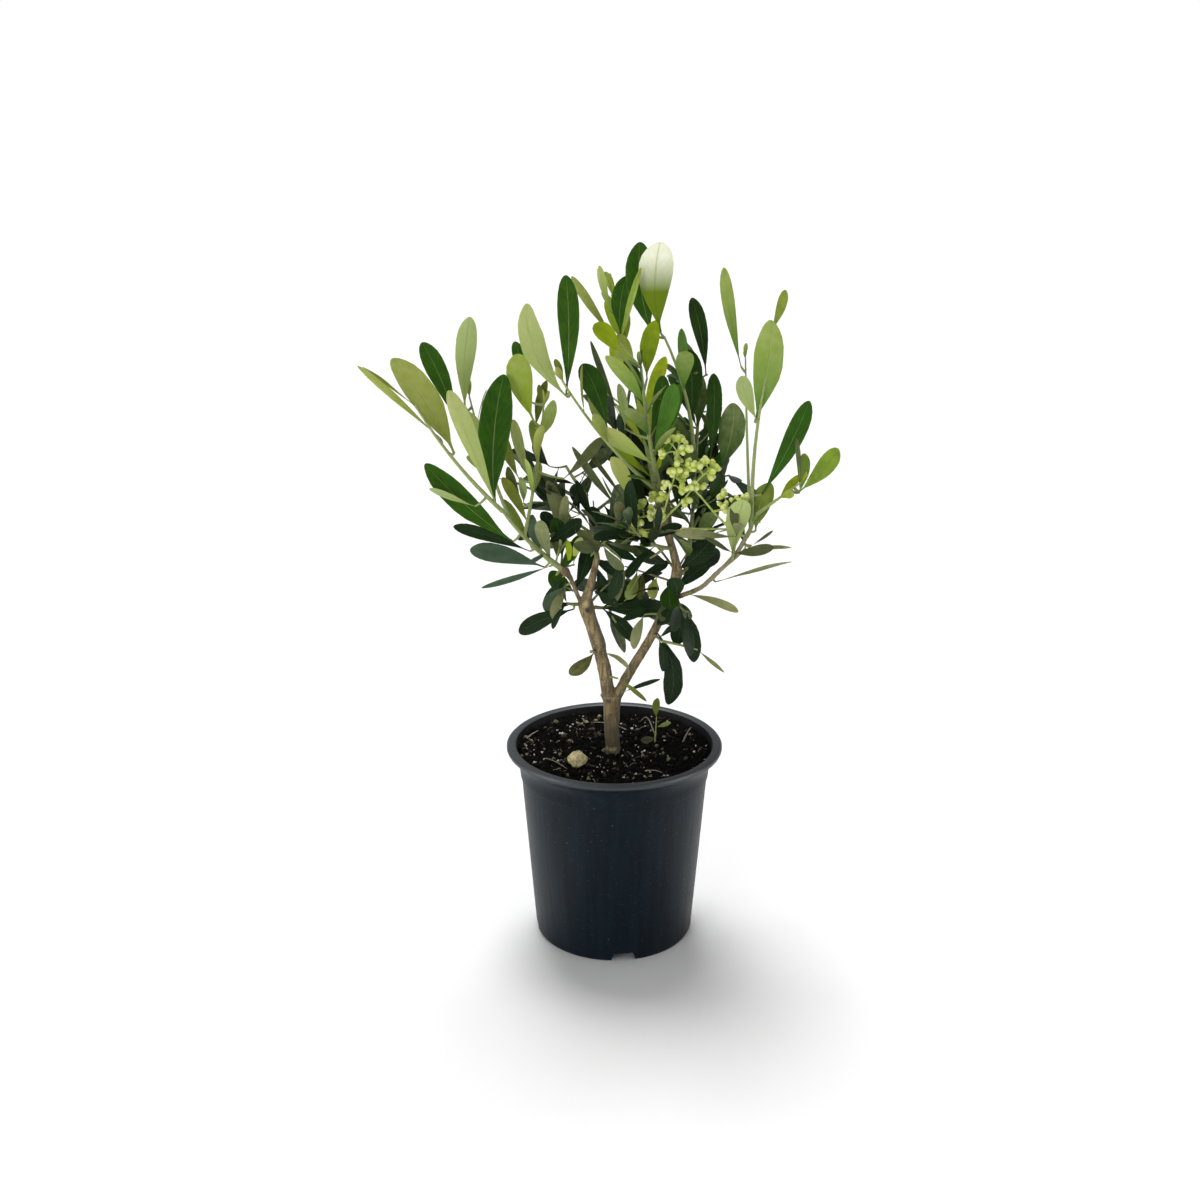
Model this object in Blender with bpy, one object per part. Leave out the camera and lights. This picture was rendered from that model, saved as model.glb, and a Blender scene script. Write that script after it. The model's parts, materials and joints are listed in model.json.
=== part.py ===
"""A small olive tree in a round nursery container, standing on the flat underside of its pot.

Metres, +Z up, the front towards -Y. The origin is the centre of the pot's underside.
The trunk is cut flat at the soil and forks into two boughs, each with one side branch.
Every mass of foliage is one solid: it grows from one stem by a seeded rule, in opposite
pairs of leaves that turn a quarter from pair to pair, and a shoot's leaves are fused to it.
"""

import math
import random
from collections import namedtuple

import bmesh
import bpy
from mathutils import Matrix, Vector
from mathutils.bvhtree import BVHTree

MM = 0.001
GAP = 0.3
UP = Vector((0.0, 0.0, 1.0))
AWAY = Vector((0.0, 1.0, 0.0))

# Pot, millimetres
RIM_RADIUS = 70.4
RIM_INNER_RADIUS = 64.8
RIM_DEPTH = 3.1
POT_HEIGHT = 132.7
STEP_HEIGHT = 111.0
STEP_DEPTH = 0.7
BODY_TOP_RADIUS = 60.9
FOOT_RADIUS = 52.2
BASE_RADIUS = 51.7
FOOT_FILLET = 2.2
FLARE_HEIGHT = 112.0
FLARE_STEPS = (0.36, 0.62, 0.82, 1.0)
WALL = 1.6
BASE_THICKNESS = 2.5
CHANNEL_INNER_RADIUS = 38.0
CHANNEL_OUTER_RADIUS = 48.3
CHANNEL_DEPTH = 6.0
FLOOR_RISE = 9.0
POT_SIDES = 40
NOTCH_COUNT = 4
NOTCH_WIDTH = 17.0
NOTCH_TOP_WIDTH = 12.5
NOTCH_HEIGHT = 5.9
NOTCH_TURN = -83.0

# Soil, millimetres: its height at the trunk, and how much higher it lies at each radius
SOIL_HEIGHT = 125.0
SOIL_BANKS = ((9.5, 0.0), (22.0, 2.2), (55.0, 3.6))
SOIL_UNEVEN = 0.35
SOIL_SIDES = 28
SOIL_SHOULDER = 1.2
SOIL_BEND_HEIGHT = 118.0

# Lying or growing on the soil, millimetres from the pot's axis
SEEDLING_PLACE = (27.0, 12.0)
STONE_PLACE = (-24.0, -29.0)
STONE_SIZE = (14.0, 11.0, 9.5)

# Leaf, as shares of its length unless it says otherwise
LEAF_THICKNESS = 0.0125
LEAF_LEAST_THICKNESS = 0.5
PETIOLE_WIDTH = 1.5
LEAF_STATIONS = ((0.1, 0.0), (0.46, 0.9), (0.8, 0.84))
LEAF_FOLD = 0.16
ROOT_SUNK = 0.9

# Flower buds and their stalks, millimetres
BUD_SIZES = (5.2, 6.4)
END_BUD_SIZE = 5.6
STALK_RADII = (0.75, 0.7, 0.6, 0.5, 0.4)
SIDE_STALK_RADII = (0.45, 0.4)

# Room that a twig and a leaf keep from another body, and how far each may turn to find it
TWIG_CLEARANCE = 0.4
CLEARANCE = 0.8
TWIG_TURNS = (0, 8, -8, 16, -16, 26, -26)
LEAF_TURNS = (0, 14, -14, 30, -30)
TWIG_SIDES = 3
TWIG_TAPER = 0.55

Shoot = namedtuple(
    "Shoot",
    "name parent at reach azimuth rise bow swerve girth first pairs leaf turn step splay lift age",
)
Single = namedtuple("Single", "shoot at turn splay length width view")
Leaf = namedtuple("Leaf", "shoot at turn splay length width lift bend twist view")
Panicle = namedtuple("Panicle", "shoot at reach azimuth rise bow first nodes branch")
Mass = namedtuple("Mass", "name limb height side tint seed shoots singles panicles")


def clear_scene():
    for obj in list(bpy.data.objects):
        bpy.data.objects.remove(obj, do_unlink=True)


def make_material(name, colour, roughness, metallic=0.0):
    material = bpy.data.materials.new(name)
    material.use_nodes = True
    surface = material.node_tree.nodes["Principled BSDF"]
    surface.inputs["Base Color"].default_value = (*colour, 1.0)
    surface.inputs["Roughness"].default_value = roughness
    surface.inputs["Metallic"].default_value = metallic
    return material


def make_object(name, points, faces, material, smooth=False, collection=None):
    """A mesh object from points in millimetres, its faces turned outwards."""
    mesh = bpy.data.meshes.new(name)
    mesh.from_pydata([Vector(p) * MM for p in points], [], faces)
    work = bmesh.new()
    work.from_mesh(mesh)
    bmesh.ops.recalc_face_normals(work, faces=work.faces)
    work.to_mesh(mesh)
    work.free()
    for polygon in mesh.polygons:
        polygon.use_smooth = smooth
    mesh.materials.append(material)
    obj = bpy.data.objects.new(name, mesh)
    (collection or bpy.context.scene.collection).objects.link(obj)
    return obj


def lathe(profile, sides, uneven=None):
    """Points and faces of a profile of (radius, height) turned about Z; radius 0 is one point."""
    points, rings, faces = [], [], []
    for level, (radius, height) in enumerate(profile):
        if radius == 0.0:
            rings.append([len(points)])
            points.append((0.0, 0.0, height))
            continue
        ring = []
        for side in range(sides):
            angle = math.tau * side / sides
            lift = uneven(level, side) if uneven else 0.0
            ring.append(len(points))
            points.append((radius * math.cos(angle), radius * math.sin(angle), height + lift))
        rings.append(ring)
    for low, high in zip(rings, rings[1:]):
        for side in range(sides):
            after = (side + 1) % sides
            if len(low) == 1:
                faces.append((low[0], high[side], high[after]))
            elif len(high) == 1:
                faces.append((low[side], low[after], high[0]))
            else:
                faces.append((low[side], low[after], high[after], high[side]))
    return points, faces


def wall_radius(height):
    """Outer radius of the straight wall of the pot, carried on above the step."""
    share = (height - FOOT_FILLET) / (STEP_HEIGHT - FOOT_FILLET)
    return FOOT_RADIUS + share * (BODY_TOP_RADIUS - FOOT_RADIUS)


def collar_radius(height):
    """Outer radius above the step, where the wall flares out to the rim."""
    top = POT_HEIGHT - RIM_DEPTH
    share = max(height - FLARE_HEIGHT, 0.0) / (top - FLARE_HEIGHT)
    return wall_radius(height) + STEP_DEPTH + (RIM_RADIUS - 0.3 - wall_radius(top) - STEP_DEPTH) * share**3


def inside_radius(height):
    """Inner radius of the pot above its floor."""
    if height <= STEP_HEIGHT:
        return wall_radius(height) - WALL
    share = max(height - FLARE_HEIGHT, 0.0) / (POT_HEIGHT - FLARE_HEIGHT)
    top = wall_radius(POT_HEIGHT) + STEP_DEPTH - WALL
    return wall_radius(height) + STEP_DEPTH - WALL + (RIM_INNER_RADIUS - top) * share**1.5


def soil_level(radius):
    """Height of the soil, which is banked up from the trunk towards the wall."""
    low_radius, low_rise = SOIL_BANKS[0]
    for high_radius, high_rise in SOIL_BANKS[1:]:
        if radius < high_radius:
            share = max(radius - low_radius, 0.0) / (high_radius - low_radius)
            return SOIL_HEIGHT + low_rise + share * (high_rise - low_rise)
        low_radius, low_rise = high_radius, high_rise
    return SOIL_HEIGHT + low_rise


def make_pot(material):
    lip = POT_HEIGHT - RIM_DEPTH
    soil_line = soil_level(RIM_INNER_RADIUS)
    floor = CHANNEL_DEPTH + BASE_THICKNESS
    inside = [
        (RIM_INNER_RADIUS - 0.4, POT_HEIGHT - 0.5),
        (inside_radius(soil_line), soil_line),
        (inside_radius(SOIL_BEND_HEIGHT), SOIL_BEND_HEIGHT),
        (inside_radius(STEP_HEIGHT), STEP_HEIGHT),
        (inside_radius(FOOT_FILLET + FLOOR_RISE), FOOT_FILLET + FLOOR_RISE),
        (CHANNEL_OUTER_RADIUS + 0.4, floor),
        (CHANNEL_INNER_RADIUS - 0.8, floor),
        (CHANNEL_INNER_RADIUS - 2.4, BASE_THICKNESS),
        (0.0, BASE_THICKNESS),
    ]
    outside = [
        (0.0, 0.0),
        (CHANNEL_INNER_RADIUS, 0.0),
        (CHANNEL_INNER_RADIUS + 1.0, CHANNEL_DEPTH),
        (CHANNEL_OUTER_RADIUS, CHANNEL_DEPTH),
        (CHANNEL_OUTER_RADIUS + 0.7, 0.0),
        (BASE_RADIUS - 0.7, 0.0),
        (FOOT_RADIUS, FOOT_FILLET),
        (BODY_TOP_RADIUS, STEP_HEIGHT),
        (BODY_TOP_RADIUS + STEP_DEPTH, STEP_HEIGHT + 0.6),
    ]
    for share in FLARE_STEPS:
        height = FLARE_HEIGHT + share * (lip - FLARE_HEIGHT)
        outside.append((collar_radius(height), height))
    outside += [
        (RIM_RADIUS, lip + 0.7),
        (RIM_RADIUS, POT_HEIGHT - 1.0),
        (RIM_RADIUS - 1.0, POT_HEIGHT),
        (RIM_INNER_RADIUS + 0.7, POT_HEIGHT),
    ]
    points, faces = lathe(outside + inside, POT_SIDES)
    pot = make_object("pot", points, faces, material, smooth=True)
    cutters = bpy.data.collections.new("drain_notch_cutters")
    bpy.context.scene.collection.children.link(cutters)
    for index in range(NOTCH_COUNT):
        turn = math.radians(NOTCH_TURN + 360.0 * index / NOTCH_COUNT)
        corners = []
        for radius in (CHANNEL_OUTER_RADIUS - 1.5, BASE_RADIUS + 4.0):
            corners += [
                (radius, -NOTCH_WIDTH / 2, -1.0),
                (radius, NOTCH_WIDTH / 2, -1.0),
                (radius, NOTCH_TOP_WIDTH / 2, NOTCH_HEIGHT),
                (radius, -NOTCH_TOP_WIDTH / 2, NOTCH_HEIGHT),
            ]
        spin = Matrix.Rotation(turn, 3, "Z")
        corners = [spin @ Vector(corner) for corner in corners]
        sides = [(0, 1, 2, 3), (4, 5, 6, 7), (0, 1, 5, 4), (1, 2, 6, 5), (2, 3, 7, 6), (3, 0, 4, 7)]
        cutter = make_object(f"drain_notch_{index}", corners, sides, material, collection=cutters)
        cutter.hide_render = True
        cutter.display_type = "WIRE"
    join_with(pot, cutters, "DIFFERENCE")
    return pot


def make_soil(material):
    """Filled from the floor of the pot to its surface, a little uneven away from the trunk."""
    dice = random.Random(5)
    roof = CHANNEL_DEPTH + BASE_THICKNESS + GAP
    foot = FOOT_FILLET + FLOOR_RISE

    def fill_radius(height):
        """The gap clear of the flat sides that the pot's wall is made of."""
        return inside_radius(height) * math.cos(math.pi / POT_SIDES) - GAP - 0.1

    edge_height = soil_level(RIM_INNER_RADIUS) - SOIL_SHOULDER
    bed, slope, bank = [(radius, SOIL_HEIGHT + rise) for radius, rise in SOIL_BANKS]
    profile = [
        (0.0, BASE_THICKNESS + GAP),
        (CHANNEL_INNER_RADIUS - 2.8 - GAP, BASE_THICKNESS + GAP),
        (CHANNEL_INNER_RADIUS - 1.2 - GAP, roof),
        (CHANNEL_OUTER_RADIUS - GAP, roof),
        (fill_radius(foot) - 0.2, foot + GAP),
        (fill_radius(STEP_HEIGHT) - 0.2, STEP_HEIGHT),
        (fill_radius(SOIL_BEND_HEIGHT), SOIL_BEND_HEIGHT),
        (fill_radius(edge_height), edge_height),
        bank,
        slope,
        bed,
        (0.0, SOIL_HEIGHT),
    ]

    def uneven(level, side):
        return dice.uniform(-SOIL_UNEVEN, SOIL_UNEVEN) if 7 < level < 10 else 0.0

    points, faces = lathe(profile, SOIL_SIDES, uneven)
    return make_object("soil", points, faces, material, smooth=True)


def make_stone(material):
    """A lump of pale stone lying on the soil."""
    dice = random.Random(9)
    work = bmesh.new()
    bmesh.ops.create_icosphere(work, subdivisions=2, radius=0.5)
    points = []
    for vert in work.verts:
        lump = 1 + dice.uniform(-0.1, 0.1)
        points.append([max(axis * lump, -0.42) * size for axis, size in zip(vert.co, STONE_SIZE)])
    faces = [tuple(vert.index for vert in face.verts) for face in work.faces]
    work.free()
    low = min(point[2] for point in points)
    floor = soil_level(math.hypot(*STONE_PLACE) + STONE_SIZE[0] / 2) + SOIL_UNEVEN + GAP
    place = [(x + STONE_PLACE[0], y + STONE_PLACE[1], z - low + floor) for x, y, z in points]
    return make_object("pale_stone", place, faces, material)


def join_with(obj, collection, operation):
    """One exact Boolean with a whole collection, applied, and the collection's objects removed."""
    modifier = obj.modifiers.new("join", "BOOLEAN")
    modifier.operation = operation
    modifier.operand_type = "COLLECTION"
    modifier.collection = collection
    modifier.solver = "EXACT"
    bpy.context.view_layer.update()
    graph = bpy.context.evaluated_depsgraph_get()
    joined = bpy.data.meshes.new_from_object(obj.evaluated_get(graph))
    obj.modifiers.clear()
    obj.data = joined
    for other in list(collection.objects):
        bpy.data.objects.remove(other, do_unlink=True)
    bpy.data.collections.remove(collection)


def drop_scraps(obj):
    """Keeps the largest body of a mesh and drops a loose scrap, or one that only touches it."""
    work = bmesh.new()
    work.from_mesh(obj.data)
    bmesh.ops.triangulate(work, faces=work.faces)
    left = set(work.faces)
    bodies = []
    while left:
        stack = [left.pop()]
        body = set(stack)
        while stack:
            for edge in stack.pop().edges:
                for face in edge.link_faces:
                    if face in left:
                        left.remove(face)
                        body.add(face)
                        stack.append(face)
        bodies.append(body)
    bodies.sort(key=len)
    for body in bodies[:-1]:
        bmesh.ops.delete(work, geom=list(body), context="FACES")
    work.to_mesh(obj.data)
    work.free()
    return [len(body) for body in bodies[:-1]]


def heading(azimuth, rise):
    """Unit direction: azimuth 0 is to the right, 90 away from the front; rise is above level."""
    turn, climb = math.radians(azimuth), math.radians(rise)
    flat = math.cos(climb)
    return Vector((flat * math.cos(turn), flat * math.sin(turn), math.sin(climb)))


def across(axis):
    """Two directions square to an axis, the first one as near as can be to the right."""
    right = AWAY.cross(axis).normalized()
    return right, axis.cross(right).normalized()


def tube(path, radii, sides, first_axis=None, last_axis=None):
    """A closed tapering tube with flat ends through the points of a path; an end may be
    square to another direction, to lie flat against what it meets."""
    points, faces = [], []
    for index, centre in enumerate(path):
        before = path[max(index - 1, 0)]
        after = path[min(index + 1, len(path) - 1)]
        axis = (after - before).normalized()
        if index == 0 and first_axis:
            axis = first_axis
        if index == len(path) - 1 and last_axis:
            axis = last_axis
        right, back = across(axis)
        wide, deep = radii[index] if isinstance(radii[index], tuple) else (radii[index],) * 2
        for side in range(sides):
            angle = math.tau * (side + 0.5) / sides
            points.append(centre + right * wide * math.cos(angle) + back * deep * math.sin(angle))
    for index in range(len(path) - 1):
        for side in range(sides):
            after = (side + 1) % sides
            low, high = index * sides, (index + 1) * sides
            faces.append((low + side, low + after, high + after, high + side))
    faces.append(tuple(range(sides)))
    faces.append(tuple(range((len(path) - 1) * sides, len(path) * sides)))
    return points, faces


def leaf_mesh(base, direction, face, length, width, bend):
    """A leaf widest past its middle, thick along the midrib, bent away from its upper face."""
    side = direction.cross(face).normalized()
    curve = bend if abs(bend) > 0.01 else 0.01
    radius = length / curve
    thickness = max(LEAF_THICKNESS * length, LEAF_LEAST_THICKNESS)

    def station(share):
        turn = curve * share
        centre = base + direction * radius * math.sin(turn) - face * radius * (1 - math.cos(turn))
        return centre, face * math.cos(turn) + direction * math.sin(turn)

    points = [base]
    for share, spread in LEAF_STATIONS:
        centre, normal = station(share)
        half = max(width * spread, PETIOLE_WIDTH) / 2
        thick = max(thickness, PETIOLE_WIDTH * 0.7) if spread == 0.0 else thickness
        rise = normal * half * LEAF_FOLD * (spread > 0.0)
        points += [
            centre + side * half + rise,
            centre + normal * thick / 2,
            centre - side * half + rise,
            centre - normal * thick / 2,
        ]
    points.append(station(1.0)[0])
    faces = [(0, 1 + (k + 1) % 4, 1 + k) for k in range(4)]
    for ring in range(len(LEAF_STATIONS) - 1):
        low, high = 1 + 4 * ring, 5 + 4 * ring
        faces += [(low + k, low + (k + 1) % 4, high + (k + 1) % 4, high + k) for k in range(4)]
    last = 1 + 4 * (len(LEAF_STATIONS) - 1)
    faces += [(last + k, last + (k + 1) % 4, len(points) - 1) for k in range(4)]
    return points, faces


def bud_mesh(centre, axis, size):
    """A flower bud: an eight-sided bead, longer than it is wide."""
    right, back = across(axis)
    ends = [right, back, -right, -back]
    points = [centre - axis * size * 0.62] + [centre + end * size * 0.5 for end in ends]
    points.append(centre + axis * size * 0.68)
    faces = [(0, 1 + (k + 1) % 4, 1 + k) for k in range(4)]
    return points, faces + [(1 + k, 1 + (k + 1) % 4, 5) for k in range(4)]


def tree_of(points, faces):
    return BVHTree.FromPolygons([Vector(p) for p in points], faces)


def clear(piece, obstacles):
    """True if a piece touches none of the bodies that are there already."""
    test = tree_of(*piece)
    return not any(test.overlap(other) for other in obstacles)


class Path:
    """A shoot's middle line: a chord with a bow in its upright plane and a swerve across it."""

    def __init__(self, start, row):
        self.start = start
        self.chord = heading(row.azimuth, row.rise) * row.reach
        axis = self.chord.normalized()
        self.bow = (UP - axis * UP.dot(axis)).normalized() * row.bow
        self.swerve = across(axis)[0] * row.swerve

    def point(self, share):
        arch = 4 * share * (1 - share)
        return self.start + self.chord * share + (self.bow + self.swerve) * arch

    def axis(self, share):
        slope = 4 * (1 - 2 * share)
        return (self.chord + (self.bow + self.swerve) * slope).normalized()


def place_leaf(path, leaf, nudge):
    """Base, direction and upper-face normal of one leaf on a shoot. The upper face looks
    towards the shoot's tip; `view` 1 turns it to the front and -1 to the back instead."""
    share = min(leaf.at, 1 - ROOT_SUNK / path.chord.length)
    axis = path.axis(share)
    right, back = across(axis)
    angle, lean = math.radians(leaf.turn + nudge), math.radians(leaf.splay)
    outward = right * math.cos(angle) + back * math.sin(angle)
    direction = (axis * math.cos(lean) + outward * math.sin(lean) + UP * leaf.lift).normalized()
    towards = UP * 0.4 - AWAY * leaf.view if leaf.view else axis + UP * 0.4
    face = (towards - direction * towards.dot(direction)).normalized()
    face.rotate(Matrix.Rotation(math.radians(leaf.twist), 3, direction))
    return path.point(share), direction, face


def pair_rows(row, dice):
    """The rule: leaves in opposite pairs, each pair turned by `step`, shorter and more upright
    towards the tip, older leaves more spread and more bent."""
    for pair in range(row.pairs):
        rank = pair / max(row.pairs - 1, 1)
        share = row.first + (0.985 - row.first) * rank ** 0.92
        fall = max(rank - 0.5, 0.0) / 0.5
        length = row.leaf * (0.86 + 0.28 * min(rank, 0.5) - 0.42 * fall * (row.age < 0.5) - 0.2 * fall)
        splay = row.splay * (1 - rank) + min(row.splay, 22.0) * rank
        for half in (0, 180):
            size = length * dice.uniform(0.86, 1.1)
            ratio = dice.uniform(0.22, 0.29)
            yield Leaf(
                row.name,
                share,
                row.turn + row.step * pair + half + dice.uniform(-14, 14),
                splay + dice.uniform(-8, 8),
                size,
                size * ratio,
                row.lift,
                (8 + 26 * row.age) * dice.uniform(0.4, 1.2) - 6,
                dice.uniform(-38, 38),
                0,
            )



# Limbs: (right, away, up, radius), millimetres; the trunk's foot is the flat cut at the soil
LIMBS = {
    "trunk": (
        (-0.8, 0.0, SOIL_HEIGHT + GAP, (6.2, 6.0)),
        (-0.9, 0.0, 128.5, (5.4, 5.4)),
        (-1.6, 0.0, 140.0, (5.1, 5.1)),
        (-2.4, 0.0, 153.0, (5.2, 5.1)),
        (-2.5, 0.0, 161.5, (6.0, 5.2)),
        (-1.9, 0.0, 166.5, (7.6, 4.8)),
    ),
    "left_bough": (
        (-5.5, 0.0, 166.8, 4.0),
        (-8.7, 0.0, 182.7, 3.9),
        (-11.6, 0.0, 195.0, 4.5),
        (-13.2, 0.0, 201.5, 4.1),
        (-15.8, 0.0, 213.4, 4.0),
        (-18.3, -0.2, 226.5, 5.0),
        (-17.6, 0.3, 232.5, 3.7),
        (-15.2, 1.6, 240.0, 2.9),
        (-13.2, 2.8, 248.5, 2.7),
        (-11.3, 4.0, 257.0, 2.4),
    ),
    "left_side_branch": (
        (-23.6, -1.2, 234.0, 1.7),
        (-26.6, -3.0, 242.5, 1.7),
        (-29.0, -4.8, 248.0, 2.5),
        (-31.2, -6.0, 251.2, 3.5),
        (-33.8, -7.2, 253.6, 2.6),
    ),
    "right_bough": (
        (2.6, 0.0, 166.8, 3.5),
        (5.6, 0.0, 176.0, 3.5),
        (10.0, 0.3, 186.2, 3.4),
        (19.5, 2.0, 201.9, 3.3),
        (29.0, 4.0, 219.0, 3.2),
        (36.2, 6.0, 231.8, 3.3),
        (39.2, 7.6, 243.0, 3.6),
        (39.8, 8.0, 250.0, 3.3),
    ),
    "centre_bough": (
        (39.4, 8.0, 250.8, 2.7),
        (36.6, 6.8, 262.0, 2.6),
        (32.6, 5.0, 276.0, 2.4),
        (29.6, 3.2, 294.0, 2.1),
    ),
    "right_side_branch": (
        (42.6, 3.8, 232.2, 1.6),
        (53.9, -4.0, 239.8, 1.5),
        (62.6, -12.0, 250.9, 1.5),
        (74.1, -20.0, 266.3, 1.45),
        (81.6, -25.6, 282.0, 1.35),
    ),
}
LIMB_SIDES = 10
LEVEL_FOOTED = ("trunk", "left_bough", "right_bough", "centre_bough")

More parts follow.
